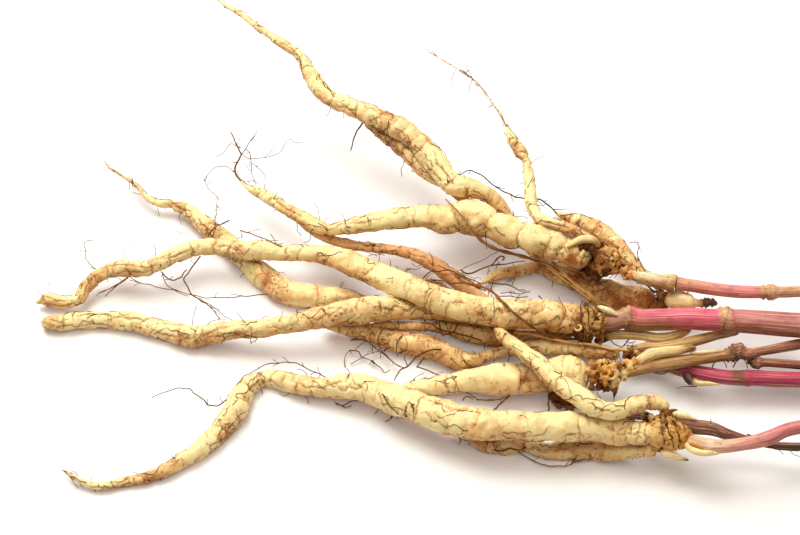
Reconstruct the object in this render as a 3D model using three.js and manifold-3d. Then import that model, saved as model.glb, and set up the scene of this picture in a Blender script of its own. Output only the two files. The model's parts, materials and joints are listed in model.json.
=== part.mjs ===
// Skirret (Sium sisarum): one lifted clump, lying on its side. Millimetres, +Z up.
// One knobbly rootstock carries six crowns. Storage roots run to -X and stems to +X.
// Each root, stem, bud and sheath is a closed solid of its own, and the rootstock is fitted round them.
import * as THREE from 'three';
import Module from 'manifold-3d';

const wasm = await Module();
wasm.setup();

// Driving dimensions
const SECTION_STEP = 8;      // longest stretch of root between two sections
const ROOT_SIDES = 10;       // sides of a storage root's section
const STEM_SIDES = 10;       // sides of a stem's section
const THIN_SIDES = 8;        // sides of a stalk's, bud's or sheath's section
const ROOTLET_SIDES = 6;     // sides of a rootlet's section
const FIT_GAP = 0.35;        // clearance between the rootstock and what grows out of it
const POINTED_BELOW = 1.15;  // an end thinner than this radius runs to a point
const POINT_LENGTH = 1.2;    // length of that point, in end radii
const STEEP = 0.25;          // below this, a direction is too steep to take its side from the vertical
const KNOBS = 6;             // knobs round each crown
const KNOB_SIZE = 0.42;      // radius of a knob, as a share of its crown's radius
const KNOB_SEAT = 0.74;      // distance of a knob's centre from its crown's, as a share of the radius
const GOLDEN_ANGLE = Math.PI * (3 - Math.sqrt(5));
const CENTRE_DETAIL = 1;     // icosahedron subdivision of a crown's centre
const KNOB_DETAIL = 1;       // icosahedron subdivision of a knob

const FINISH = {
  rootSkin: { color: 0xe6cb8f, roughness: 0.62, metalness: 0 },
  brownSkin: { color: 0xc08a52, roughness: 0.68, metalness: 0 },
  crownBark: { color: 0x8c6034, roughness: 0.8, metalness: 0 },
  stemPink: { color: 0xb2566a, roughness: 0.5, metalness: 0 },
  stemBrown: { color: 0x96644c, roughness: 0.6, metalness: 0 },
  straw: { color: 0xd6b47a, roughness: 0.65, metalness: 0 },
  bud: { color: 0xefe2b4, roughness: 0.5, metalness: 0 },
  rootlet: { color: 0x9a7045, roughness: 0.75, metalness: 0 },
};

// Each path lists sections along the middle of a piece, as x, y, z and radius.
// Roots start at their tip and end in a crown, and stems start in a crown.
const STORAGE_ROOTS = {
  root_upper_long: [
    [-80, 124.5, 26, 0.3], [-75.5, 119, 26, 0.7], [-67, 111.5, 27, 1.1], [-59, 103.5, 27.5, 1.4],
    [-48.5, 94, 28, 2], [-41, 86, 28.5, 2.3], [-35.5, 73.5, 29, 3.3], [-28.5, 64, 29, 3.5],
    [-19.5, 59, 29, 3.4], [-10, 54, 28.5, 4.1], [-0.5, 48.8, 28, 4.6], [8, 41, 27, 4.7],
    [15.5, 30.5, 26, 4.6], [22, 22, 25.5, 4.5], [31, 20, 24.5, 3.5], [36.5, 19, 21, 3],
    [40.5, 16.5, 17.5, 2.5], [45, 13, 14, 2], [51.5, 7, 13, 1.8], [63, 2.5, 13.5, 1.6],
    [71.5, -2, 16, 1.6], [75, -5.5, 17.5, 1.6],
  ],
  root_upper_strand: [
    [-11.5, 55, 19, 0.6], [-6, 49.5, 19, 1.8], [0, 44.5, 19, 2.4], [5.5, 37.5, 19, 2.7],
    [11.5, 32, 18.3, 2.8], [17, 28, 17.4, 2.4], [23, 22, 17, 1.8], [32, 19, 11, 1.6],
    [42, 13.5, 8.5, 1.4], [54, 6.5, 8, 1.4], [65.5, -0.5, 10, 1.4], [73, -8, 14, 1.4],
    [76, -10, 16.5, 1.4],
  ],
  root_fork: [
    [-66.5, 37.5, 13, 0.3], [-63, 32, 13, 0.6], [-58.5, 28.5, 13.5, 1.8], [-53, 24.5, 14, 2.2],
    [-46, 18.5, 15, 2.2], [-37.5, 12, 16, 2.8], [-28.5, 6.5, 17, 2.6], [-21.5, 7, 17.5, 3],
    [-11, 9.5, 18, 3.6], [0, 11, 18.5, 4], [12, 11, 19, 4.5], [18.5, 9.5, 19.5, 5.5],
    [27.5, 10.5, 20, 6.1], [34, 7.5, 20.5, 6.3], [41, 3, 21, 5.5], [49, 0, 21.5, 5.3],
    [56.5, -3, 22, 5.8], [63, -5.5, 22, 5.4], [70, -9, 22, 4.8], [74.5, -10.5, 22, 3.9],
  ],
  root_club: [
    [11.5, 91, 27, 0.25], [29, 76.5, 27, 0.3], [36.5, 65, 27, 0.3], [43, 51.5, 27, 0.5],
    [44.5, 45.5, 27, 1.6], [47.5, 39, 27, 2.4], [50, 33.5, 27, 1.8], [51, 24.5, 27, 2],
    [52, 9, 27.5, 2.1], [54, 3.5, 28.5, 1.9], [58.5, 1, 29.5, 1.7], [71.5, -5.5, 29, 1.5],
    [77, -9, 26, 1.5],
  ],
  root_back: [
    [62.5, 20, 10, 0.3], [64.5, 18.5, 10, 1.2], [69.5, 16, 10.5, 2.6], [74.5, 13.5, 11, 3.2],
    [80, 9, 11.5, 3.6], [84.5, 4, 12, 3.5], [89, -2.8, 12, 3.3], [92.8, -8.2, 11.8, 2.6],
    [96.5, -13, 11.2, 1.9], [102, -17.5, 11, 1.6],
  ],
  root_tan: [
    [-40, 13.5, 11, 0.4], [-36, 11, 11, 1.4], [-28, 6, 11, 1.8], [-16, 3, 10.5, 1.8],
    [-2, 1, 10.5, 1.9], [6, -1.5, 10.5, 2.2], [12.5, -5, 10, 2.6], [19.5, -10.5, 9.5, 2.9],
    [25.5, -15.5, 9, 3.1], [30.5, -20, 8.5, 2.3], [39, -24.5, 7.6, 1.8], [48.5, -28, 7.8, 1.6],
    [62.5, -31, 8.9, 1.5], [66, -32, 9.2, 1.5],
  ],
  root_shaded: [
    [30.5, -10, 3, 0.3], [33.5, -9, 3, 1], [37, -6.5, 3, 1.8], [47.5, -4, 3.5, 2.4],
    [54.5, -2.5, 4, 2.8], [61.5, -4.5, 4.2, 3.4], [69, -8.5, 4.6, 3.9], [75.5, -13.5, 4.8, 4.7],
    [82, -16.5, 4.8, 5.1], [90, -18.5, 4.8, 5.1], [97, -20, 6.2, 4.1], [100, -21, 7.4, 2.9],
  ],
  root_left_diagonal: [
    [-122, 49.5, 6, 0.25], [-120, 46.5, 6, 0.4], [-107.5, 36.5, 6, 0.8], [-103, 30.5, 6, 1.2],
    [-98.5, 28, 5.5, 1.6], [-92.5, 27.5, 5.5, 1.8], [-87, 25, 5.5, 2.6], [-77.5, 16, 5, 3],
    [-71.5, 11, 4.6, 3.1], [-65, 4.3, 4.2, 3.3], [-59, -1.8, 3.7, 3.7], [-53.5, -7.5, 3.7, 4.1],
    [-48, -12.5, 3.8, 4.3], [-42.5, -15.5, 4, 4.5], [-36, -16.5, 3.8, 4.3], [-30.5, -17, 3.5, 3.9],
    [-24.5, -16, 3.1, 3.2], [-19, -16, 3, 2], [-13.5, -17.5, 3, 1.4], [12, -23, 3, 1.4],
    [27.5, -26.5, 3, 1.4], [43, -28.5, 3.4, 1.4], [54.5, -30, 4, 1.4], [66, -32.5, 5.8, 1.4],
  ],
  root_left_long: [
    [-143, -19, 3, 0.3], [-139.5, -18.5, 4, 1.6], [-130, -19.5, 4.5, 2], [-126.5, -19, 5, 2],
    [-124, -14.5, 6, 2.1], [-118, -9, 8, 2.2], [-112.5, -7, 9, 2.4], [-99, -8, 11, 2.3],
    [-94.5, -5.5, 11.5, 2.6], [-87.5, -2, 12, 2.6], [-79, 1, 12.5, 2.8], [-72, 1, 13, 3.1],
    [-63, -0.5, 13, 3.4], [-53.5, -0.5, 12.5, 3.4], [-45.5, -1.5, 12, 2.8], [-38.5, -1.5, 12, 2.8],
    [-31.5, -2.5, 12.5, 3.4], [-23.5, -5.5, 13.5, 3.9], [-8, -15.5, 16.5, 4.3], [7.5, -24.5, 18.5, 4.6],
    [23, -32, 19.5, 5], [30.5, -34, 19.5, 5.1], [40, -34.5, 19, 5.3], [49.5, -34.5, 18.5, 5.3],
    [59, -35.5, 18, 5.7], [66.5, -36, 17.5, 5.9], [70.5, -36.5, 17.2, 4.6],
  ],
  root_blunt: [
    [-139, -28.5, 3.2, 1], [-137.5, -28.5, 3.2, 2.1], [-134, -28.5, 3.1, 2.9], [-127, -27.5, 2.9, 3.3],
    [-117, -27, 2.8, 3.1], [-107.5, -27.5, 3.2, 3.7], [-97.5, -30.5, 3.3, 3.7],
    [-87.5, -33.5, 3.6, 3.9], [-79.5, -35.5, 4.5, 4.1], [-63.5, -35.5, 9, 3.7], [-54.5, -36, 10.5, 3.5],
    [-46, -35.5, 12, 3.5], [-30.5, -33.5, 14, 4.2], [-21, -32, 15, 4.8], [-9.5, -30, 14.5, 4.8],
    [0, -28, 12, 4.1], [8, -27, 9.5, 3.3], [14.5, -28, 8.7, 2.7], [21.5, -29.5, 8.8, 1.9],
    [31, -31.5, 9.5, 1.7], [44.5, -33.5, 9.8, 1.7], [56, -34.5, 9.6, 1.6], [66, -36, 9.8, 1.5],
  ],
  root_lower_strand: [
    [-11.5, -33, 8, 0.6], [-6, -33, 8, 1.2], [1, -33.5, 8, 1.5], [11.5, -32.5, 6.4, 1.7],
    [19.5, -32, 4.3, 2.5], [27, -34, 4.1, 3.5], [34, -35, 3.7, 4.1], [40.5, -36, 3.6, 3.7],
    [49.5, -36, 4.4, 2.5], [58, -35, 5.3, 1.7], [66.5, -36, 6, 1.5],
  ],
  root_ribbed: [
    [-22, -33, 4, 0.8], [-15.5, -34.5, 4, 2.5], [-8, -36, 4, 3.3], [0, -38.5, 4, 3.9],
    [6, -39.5, 4, 4.1], [11.5, -41, 4.4, 4.6], [23, -46.5, 4.6, 3.8], [29, -46.5, 4.6, 2.7],
    [34.5, -44.5, 5, 2.1], [40.5, -43, 5, 2.1], [55.5, -42, 7, 2.9], [61.5, -43, 7.5, 3.1],
    [69, -44, 8, 3.1], [76.5, -46, 8.5, 2.7], [84, -47, 9, 2.3],
  ],
  root_fat: [
    [1, -58, 3, 0.8], [4.5, -58, 3.5, 1.5], [10.5, -58, 4, 2.1], [18, -57.5, 5, 2.5], [23, -57, 6, 3],
    [27.5, -57, 7, 4], [33, -57.5, 7.5, 5.1], [39, -57.5, 8, 5.7], [45.5, -57, 8, 5.5],
    [51, -57.5, 8.5, 5.3], [57, -56.5, 9, 5.5], [63, -56, 10, 6.1], [68, -57, 11, 5.9],
    [72, -57, 11.5, 4.7],
  ],
  root_crossing: [
    [36.5, -41.5, 18, 0.9], [38, -43, 18, 2.1], [41, -47, 18.5, 2.6], [50.5, -57, 20.5, 3.3],
    [55.5, -64, 22, 3.5], [61, -70, 23, 3.7], [67, -75.5, 24.2, 3.7], [73, -80, 24.2, 3.3],
    [78.5, -80.5, 23.8, 3.1], [91, -75.5, 21.5, 2.7], [96, -75.8, 20.5, 2.3], [99, -77, 19, 1.7],
  ],
  root_bottom_long: [
    [-124.5, -94, 3, 0.3], [-121, -96.5, 3, 0.7], [-117, -98.5, 2.8, 1.1], [-110.5, -100, 2.4, 1.3],
    [-103.5, -98.5, 2, 1.7], [-94.5, -96.5, 1.9, 2], [-87, -93.5, 2.3, 2.6], [-81, -89.5, 2.5, 2.9],
    [-75.5, -85.5, 2.6, 3], [-66, -75, 3.1, 3.5], [-62.5, -69.5, 3.3, 3.8], [-60.5, -62, 3.3, 3.8],
    [-57, -57, 3.1, 3.4], [-52.5, -54, 3, 3.2], [-46, -55, 3.4, 3.4], [-30.5, -59.5, 5.5, 3.2],
    [-22.5, -60, 7, 4], [-15, -61, 8.5, 4.5], [-7.5, -64.5, 9.5, 4.7], [0, -69, 11, 4.9],
    [7.5, -73, 12, 5.2], [16.5, -77, 13.5, 5.4], [26, -80.5, 14.5, 5.4], [37, -82, 15.5, 5.2],
    [59, -82.5, 16, 5], [70, -82.5, 15.4, 5], [79, -84, 15.4, 4.8], [88.5, -85, 15.6, 4.6],
    [93.5, -85.5, 15.8, 4],
  ],
  root_bottom_under: [
    [23, -79, 2.4, 0.6], [28, -80.5, 2.4, 1.3], [33.5, -83, 2.2, 2.2], [39, -83.5, 2.2, 2.2],
    [46.5, -83, 2.4, 1.3], [54, -85, 2.4, 2], [59.5, -85, 2.4, 2.6], [74.5, -86, 3.4, 2.8],
    [81.5, -87, 5.4, 2.4], [89, -88.5, 8, 1.8], [94.5, -89, 10.5, 1.7],
  ],
};

const THIN_BROWN_ROOTS = {
  root_brown_thin: [
    [-19, -1, 12, 0.3], [-13, -3, 11, 1], [-6, -6, 10.5, 1.4], [10, -13.5, 10.5, 1.4],
    [19.5, -18.5, 11, 1.4], [29, -23, 11.5, 1.2], [42.5, -27, 11.4, 1.2], [56, -31, 11.8, 1.1],
    [63.5, -31.5, 11.9, 1],
  ],
};

const PINK_STEMS = {
  stem_upper: [
    [108.5, -20.5, 18, 2.9], [112, -21, 18, 2.5], [119.5, -22.5, 18, 2.5], [131, -24, 18, 2.5],
    [141, -24.5, 18.5, 2.4], [143, -24.5, 18.5, 3.2], [146, -24.5, 18.5, 2.2], [160, -24, 18.5, 2.1],
  ],
  stem_middle: [
    [76.5, -37, 17, 3.2], [79.5, -37.5, 17, 3.4], [84, -36.5, 17.5, 3.4], [88.5, -36, 17.5, 4.6],
    [90.5, -36.5, 17.5, 4.2], [99, -36.5, 17.5, 4.2], [110.5, -36.5, 18, 4.2], [120, -37, 18, 4.2],
    [124, -37, 18, 4.8], [125.5, -37.5, 18, 5.1], [127.5, -37.5, 18, 4.4], [137, -38.5, 18.5, 4.6],
    [148, -40, 19.3, 4.7], [157, -41.5, 20.5, 4.7],
  ],
  stem_magenta: [
    [92.5, -49, 7.5, 1.1], [98.5, -50.5, 7.8, 1.5], [104.5, -53, 8.3, 2.1], [108.5, -54, 8.8, 2.7],
    [114, -55.5, 9.5, 2.8], [122, -57.5, 10, 2.8], [129.5, -58, 10, 3], [131.5, -58, 10, 3.2],
    [133, -58, 10, 3], [142, -58.5, 10, 3], [157, -59, 10, 3],
  ],
  stem_lower_front: [
    [101, -87, 16, 3.1], [106, -89, 16, 2.9], [111.5, -91.5, 17, 3.1], [116.5, -92.5, 18.5, 2.5],
    [123.5, -92.5, 20, 2.4], [134.5, -90.5, 21.5, 2.7], [140, -88, 22, 2.5], [151.5, -85.5, 22, 2.6],
  ],
};

const BROWN_STEMS = {
  stem_brown: [
    [87, -56.5, 12.3, 1.7], [94.5, -55, 13.2, 2.1], [102, -54, 14.2, 2.3], [118, -52, 15, 1.9],
    [125, -51, 15.6, 1.7], [128, -50, 16, 2.3], [130.5, -51, 16.2, 1.9], [136, -50, 16, 1.7],
    [152, -45.5, 14.2, 2.1], [158, -44, 13.4, 2.1],
  ],
  stem_brown_branch: [
    [132.5, -51.5, 12.6, 0.9], [133.5, -52.5, 12.6, 1.5], [135.5, -53, 13, 2.1], [138, -53, 13, 1.6],
    [151.5, -53.5, 12, 1.7], [157, -54, 12, 1.7],
  ],
  stem_lower_back: [
    [101.5, -81.6, 17.5, 1.9], [107.5, -83.2, 17, 2], [114.5, -83.4, 15.6, 1.9], [120, -84.6, 14, 1.8],
    [130.5, -86, 11, 1.5], [138.5, -87.5, 10.5, 1.4], [153.5, -88, 10.5, 1.5],
  ],
};

const STRAW_STALKS = {
  stalk_pale: [
    [87, -53, 14.2, 0.9], [91, -52, 14.8, 1.1], [94.5, -51.5, 15.8, 1.5], [100, -50.5, 17, 1.7],
    [106, -49.5, 17, 1.5], [111, -49, 17, 0.8],
  ],
  stalk_straw: [
    [89, -46.5, 12, 0.9], [93.5, -45.5, 12, 1], [101, -45.5, 12.5, 1.1], [110.5, -43.5, 12.6, 1.5],
    [122.5, -39.5, 11.4, 1.5], [129.5, -38, 10.4, 0.8],
  ],
  stalk_under: [
    [75.5, -40, 7, 1], [86.5, -37.5, 7.6, 1.7], [100, -38.5, 8, 1.5], [106.5, -37.5, 8.5, 1.2],
    [111, -35.5, 9, 0.8],
  ],
};

const BUDS = {
  stem_right_shoot: [
    [106, -21.8, 9, 2.4], [109, -22, 9, 2.5], [113.5, -22.5, 9, 2.1], [117, -23, 9, 1.4],
    [123, -23, 9, 1],
  ],
  bud_middle: [
    [74.5, -29.5, 15.5, 0.8], [77.5, -30.5, 16, 1.3], [81.5, -31.5, 16, 1.3], [85, -32, 16, 0.4],
  ],
  bud_lower_back: [
    [101.5, -78.8, 19.6, 0.9], [103.5, -79.2, 19.9, 1.5], [106.5, -79.8, 19.5, 1.3], [110, -80.6, 19, 0.4],
  ],
  bud_lower_front: [
    [96, -91.5, 12.3, 0.9], [98.5, -92.5, 12, 1.7], [102, -93.5, 12, 1.3], [105.5, -94.5, 12, 0.3],
  ],
  cut_stub: [
    [81, -77, 14.5, 0.9], [84, -76.5, 14, 1.7], [88, -76.5, 14, 1.9], [93, -77.5, 14, 1.8],
  ],
  sheath_right: [
    [104, -56.5, 5.4, 0.8], [107.5, -58, 5.4, 1.1], [114, -59, 5.8, 0.9], [122, -59.5, 6.3, 0.3],
  ],
  sheath_lower: [
    [104, -90, 10.8, 0.9], [107, -90.5, 11, 1.5], [112.5, -91.5, 11.4, 1.2], [118.5, -92.5, 12, 0.4],
  ],
};

const ROOTLETS = {
  rootlet_upper: [
    [18, 15.5, 24.8, 0.6], [22, 9, 26.8, 0.7], [25.5, 3.5, 27.2, 0.7], [29, -0.5, 24.8, 0.7],
    [32, -0.5, 19, 0.7], [37.5, -1.5, 15, 0.7], [44, -3, 13.8, 0.7], [51, -5, 13.4, 0.7],
    [57, -7.5, 13.2, 0.6], [63.5, -12.5, 13.4, 0.6], [70, -20, 14.6, 0.6], [75.5, -28, 16.5, 0.6],
  ],
  rootlet_middle: [
    [18.5, -17.5, 14.5, 0.5], [27, -19.5, 17, 0.6], [34, -25, 21, 0.6], [38.5, -33, 25.2, 0.6],
    [43, -39, 25.8, 0.6], [48, -42.5, 24, 0.6], [53.5, -42, 17.5, 0.6], [61, -41.5, 12.4, 0.6],
    [69, -41, 10.5, 0.6],
  ],
};

// Rhizome links between the crowns, which are part of the rootstock.
// The first is the neck that runs from the upper crown to the node under the upper stem.
const RHIZOME_LINKS = [
  [[80, -12, 21, 2.8], [84, -15, 20.8, 2.3], [91, -18.5, 19, 1.9], [98.5, -18.5, 18, 2.5],
    [103.5, -19.5, 18, 2.9], [105, -20, 18, 3.5], [107, -20.2, 18, 3.2]],
  [[74, -36, 12, 2.6], [80.5, -34, 8, 2.2], [86, -33, 6, 2.1], [92.5, -31, 5, 2.1], [98, -27.5, 5, 2.1],
    [103, -23, 7, 2.4]],
  [[76.5, -38, 13, 2.4], [81.5, -41, 12, 2], [86, -43.5, 10.5, 2], [88, -46.5, 9, 2.2]],
  [[88, -47, 9, 2.2], [86.5, -52, 10, 2.2], [83.5, -56, 11, 2.4], [80, -57.5, 11.5, 2.4]],
  [[81, -59.5, 10, 2.2], [84, -63, 9, 2], [88, -67, 9, 2], [91.5, -72, 9, 2], [95, -77.5, 11, 2.2],
    [98, -84, 14, 2.6]],
  [[105, -20.2, 17, 2], [104.5, -21, 12, 1.7], [104, -21.5, 9.5, 2]],
];

// Crowns, as centre, radii and the direction that the stem leaves in.
const CROWNS = [
  { centre: [79.5, -11, 20.8], radii: [6.6, 6.2, 6.4], towards: [0.85, -0.5, -0.15] },
  { centre: [103, -21.5, 9], radii: [3.6, 4.2, 4.2], towards: [1, -0.1, 0] },
  { centre: [73.8, -36.5, 16.4], radii: [6.4, 6.2, 6.2], towards: [1, 0, 0] },
  { centre: [67.8, -33.6, 9.2], radii: [5.4, 5.6, 5], towards: [1, 0, 0.4] },
  { centre: [88, -47, 9.2], radii: [4.2, 3.6, 3.8], towards: [1, -0.3, 0] },
  { centre: [79, -57.2, 12], radii: [7, 5.4, 5.6], towards: [1, 0, 0] },
  { centre: [98.5, -84.5, 16], radii: [6.2, 6.6, 6.4], towards: [1, -0.2, 0] },
];

const UP = new THREE.Vector3(0, 0, 1);

// Radius between two sections, easing in and out so that bulges stay round.
function radiusAt(path, place) {
  const before = Math.min(Math.floor(place), path.length - 2);
  const share = place - before;
  const eased = share * share * (3 - 2 * share);
  return THREE.MathUtils.lerp(path[before][3], path[before + 1][3], eased);
}

// Places of the sections: one at each listed point, and more where two points lie far apart.
function sectionPlaces(points) {
  const places = [0];
  for (let i = 1; i < points.length; i += 1) {
    const parts = Math.max(1, Math.round(points[i].distanceTo(points[i - 1]) / SECTION_STEP));
    for (let part = 1; part <= parts; part += 1) {
      places.push(i - 1 + part / parts);
    }
  }
  return places;
}

// A closed solid swept along a path. Its sections have a flat lowest edge, so that it rests flat.
function sweep(path, sides, grow = 0) {
  const points = path.map(([x, y, z]) => new THREE.Vector3(x, y, z));
  const curve = new THREE.CatmullRomCurve3(points, false, 'centripetal');
  const places = sectionPlaces(points);
  const spans = points.length - 1;
  const positions = [];
  const side = new THREE.Vector3(0, 1, 0);
  places.forEach((place, section) => {
    const middle = curve.getPoint(place / spans);
    const along = curve.getTangent(place / spans);
    const level = new THREE.Vector3().crossVectors(UP, along);
    if (level.length() > STEEP) {
      side.copy(level).normalize();
    }
    const above = new THREE.Vector3().crossVectors(along, side).normalize();
    const radius = radiusAt(path, place) + grow;
    if (section === 0) {
      middle.addScaledVector(along, -grow);
    } else if (section === places.length - 1) {
      middle.addScaledVector(along, grow);
    }
    for (let k = 0; k < sides; k += 1) {
      const angle = (2 * Math.PI * k) / sides - Math.PI / 2 + Math.PI / sides;
      const corner = middle.clone();
      corner.addScaledVector(side, radius * Math.cos(angle));
      corner.addScaledVector(above, radius * Math.sin(angle));
      positions.push(corner.x, corner.y, Math.max(corner.z, -grow));
    }
  });
  const index = [];
  for (let ring = 0; ring < places.length - 1; ring += 1) {
    for (let k = 0; k < sides; k += 1) {
      const a = ring * sides + k;
      const b = ring * sides + ((k + 1) % sides);
      index.push(a, b, a + sides, b, b + sides, a + sides);
    }
  }
  closeEnd(positions, index, path[0], curve.getTangent(0).negate(), 0, sides, true, grow);
  const last = (places.length - 1) * sides;
  closeEnd(positions, index, path[spans], curve.getTangent(1), last, sides, false, grow);
  return { positions, index };
}

// Closes one end of a sweep: a thin end runs to a point, and a thick one is cut flat.
function closeEnd(positions, index, [x, y, z, radius], outward, first, sides, flipped, grow) {
  const reach = grow + (radius < POINTED_BELOW ? POINT_LENGTH * radius : 0);
  const pole = new THREE.Vector3(x, y, z).addScaledVector(outward, reach);
  const middle = positions.length / 3;
  positions.push(pole.x, pole.y, Math.max(pole.z, -grow));
  for (let k = 0; k < sides; k += 1) {
    const a = first + k;
    const b = first + ((k + 1) % sides);
    index.push(...(flipped ? [b, a, middle] : [a, b, middle]));
  }
}

function solidOf({ positions, index }) {
  const vertProperties = new Float32Array(positions);
  const triVerts = new Uint32Array(index);
  return new wasm.Manifold(new wasm.Mesh({ numProp: 3, vertProperties, triVerts }));
}

function geometryOf({ positions, index }) {
  const geometry = new THREE.BufferGeometry();
  geometry.setAttribute('position', new THREE.Float32BufferAttribute(positions, 3));
  geometry.setIndex(Array.from(index));
  geometry.computeVertexNormals();
  return geometry;
}

// A round lump of given radii, as shared points and triangles.
function lump(centre, radii, detail) {
  const ball = new THREE.IcosahedronGeometry(1, detail);
  const corners = ball.getAttribute('position');
  const seen = new Map();
  const positions = [];
  const index = [];
  for (let i = 0; i < corners.count; i += 1) {
    const corner = [corners.getX(i), corners.getY(i), corners.getZ(i)];
    const key = corner.map((value) => value.toFixed(4)).join();
    if (!seen.has(key)) {
      seen.set(key, seen.size);
      positions.push(...corner.map((value, axis) => centre[axis] + value * radii[axis]));
    }
    index.push(seen.get(key));
  }
  return { positions, index };
}

// A crown: one round centre with knobs spiralling round it, which are old leaf and stem bases.
function crown({ centre, radii, towards }) {
  let body = solidOf(lump(centre, radii, CENTRE_DETAIL));
  const axis = new THREE.Vector3(...towards).normalize();
  const across = new THREE.Vector3().crossVectors(UP, axis).normalize();
  const over = new THREE.Vector3().crossVectors(axis, across);
  for (let knob = 0; knob < KNOBS; knob += 1) {
    const height = (2 * (knob + 0.5)) / KNOBS - 1;
    const reach = Math.sqrt(1 - height * height);
    const turn = knob * GOLDEN_ANGLE;
    const spot = axis.clone().multiplyScalar(height);
    spot.addScaledVector(across, reach * Math.cos(turn));
    spot.addScaledVector(over, reach * Math.sin(turn));
    const seat = spot.toArray().map((value, i) => centre[i] + KNOB_SEAT * radii[i] * value);
    body = body.add(solidOf(lump(seat, radii.map((radius) => radius * KNOB_SIZE), KNOB_DETAIL)));
  }
  return body;
}

// The rootstock: crowns and links in one solid, cut back so that it clears every piece it carries.
function rootstock(carried) {
  let body = CROWNS.map(crown).reduce((all, next) => all.add(next));
  RHIZOME_LINKS.forEach((link) => {
    body = body.add(solidOf(sweep(link, THIN_SIDES)));
  });
  carried.forEach(({ path, sides }) => {
    body = body.subtract(solidOf(sweep(path, sides, FIT_GAP)));
  });
  const { vertProperties, triVerts } = body.getMesh();
  return { positions: Array.from(vertProperties), index: triVerts };
}

function piece(name, shape, finish) {
  const mesh = new THREE.Mesh(geometryOf(shape), new THREE.MeshStandardMaterial(finish));
  mesh.name = name;
  return mesh;
}

const GROUPS = [
  { paths: STORAGE_ROOTS, sides: ROOT_SIDES, finish: FINISH.rootSkin },
  { paths: THIN_BROWN_ROOTS, sides: THIN_SIDES, finish: FINISH.brownSkin },
  { paths: PINK_STEMS, sides: STEM_SIDES, finish: FINISH.stemPink },
  { paths: BROWN_STEMS, sides: THIN_SIDES, finish: FINISH.stemBrown },
  { paths: STRAW_STALKS, sides: THIN_SIDES, finish: FINISH.straw },
  { paths: BUDS, sides: THIN_SIDES, finish: FINISH.bud },
  { paths: ROOTLETS, sides: ROOTLET_SIDES, finish: FINISH.rootlet },
];

const clump = new THREE.Group();
const carried = [];
GROUPS.forEach(({ paths, sides, finish }) => {
  Object.entries(paths).forEach(([name, path]) => {
    clump.add(piece(name, sweep(path, sides), finish));
    carried.push({ path, sides });
  });
});
clump.add(piece('rootstock', rootstock(carried), FINISH.crownBark));

// The origin is under the middle of the clump, on the surface that it lies on.
const box = new THREE.Box3().setFromObject(clump);
const middle = box.getCenter(new THREE.Vector3());
clump.position.set(-middle.x, -middle.y, -box.min.z);

export default clump;
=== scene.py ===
"""Skirret clump: the living surface of the storage roots, rootstock, stems, buds and rootlets.

Run as a script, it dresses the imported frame. It is laid out as an add-on, with one operator for
each kind of organ and one for the stage. Lengths are in millimetres unless a name says otherwise.
"""

import json
import math

import bmesh
import bpy
import numpy as np
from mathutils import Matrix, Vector

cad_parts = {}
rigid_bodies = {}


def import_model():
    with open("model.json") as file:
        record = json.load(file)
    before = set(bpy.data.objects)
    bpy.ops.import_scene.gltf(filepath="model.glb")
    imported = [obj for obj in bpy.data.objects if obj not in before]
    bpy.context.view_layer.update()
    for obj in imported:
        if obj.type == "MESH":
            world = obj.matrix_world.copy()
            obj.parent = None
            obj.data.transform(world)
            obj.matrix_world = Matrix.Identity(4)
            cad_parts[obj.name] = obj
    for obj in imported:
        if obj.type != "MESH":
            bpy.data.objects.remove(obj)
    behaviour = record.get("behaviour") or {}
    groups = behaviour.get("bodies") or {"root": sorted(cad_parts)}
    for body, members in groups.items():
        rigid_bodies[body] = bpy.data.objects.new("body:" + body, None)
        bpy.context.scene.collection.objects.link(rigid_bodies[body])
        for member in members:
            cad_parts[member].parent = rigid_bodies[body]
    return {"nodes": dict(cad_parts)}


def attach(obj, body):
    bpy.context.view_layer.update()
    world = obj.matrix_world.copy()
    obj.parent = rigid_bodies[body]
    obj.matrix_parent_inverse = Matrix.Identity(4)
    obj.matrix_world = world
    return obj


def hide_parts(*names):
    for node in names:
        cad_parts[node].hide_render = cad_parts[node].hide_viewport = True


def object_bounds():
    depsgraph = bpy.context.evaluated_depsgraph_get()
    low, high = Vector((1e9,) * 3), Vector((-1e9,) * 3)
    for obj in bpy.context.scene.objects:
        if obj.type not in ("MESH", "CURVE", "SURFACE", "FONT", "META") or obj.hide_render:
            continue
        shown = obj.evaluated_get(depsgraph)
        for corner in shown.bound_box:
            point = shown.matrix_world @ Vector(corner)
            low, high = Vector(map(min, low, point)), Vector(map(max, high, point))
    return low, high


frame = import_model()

bl_info = {
    "name": "Skirret Clump",
    "version": (1, 0, 0),
    "blender": (4, 5, 0),
    "location": "View3D > Sidebar > Skirret",
    "description": "Dresses a skirret clump with root skin, bark, stems, buds and rootlets",
    "category": "Add Mesh",
}

MM = 0.001                   # metres in a millimetre
CAD_LOW, CAD_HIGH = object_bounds()
UP = np.array([0.0, 0.0, 1.0])
MERGE = 0.002 * MM           # points closer than this are one
PINCH_DEGREES = 125          # a pinch is deepest on the upper side that faces -Y
# Sides of a tube: its widest radius is over so many mm, and the sides that it then has.
ROOT_SIDES = ((4, 56), (2.4, 42), (0, 30))
STEM_SIDES = ((4, 64), (2, 48), (0, 24))

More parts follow.
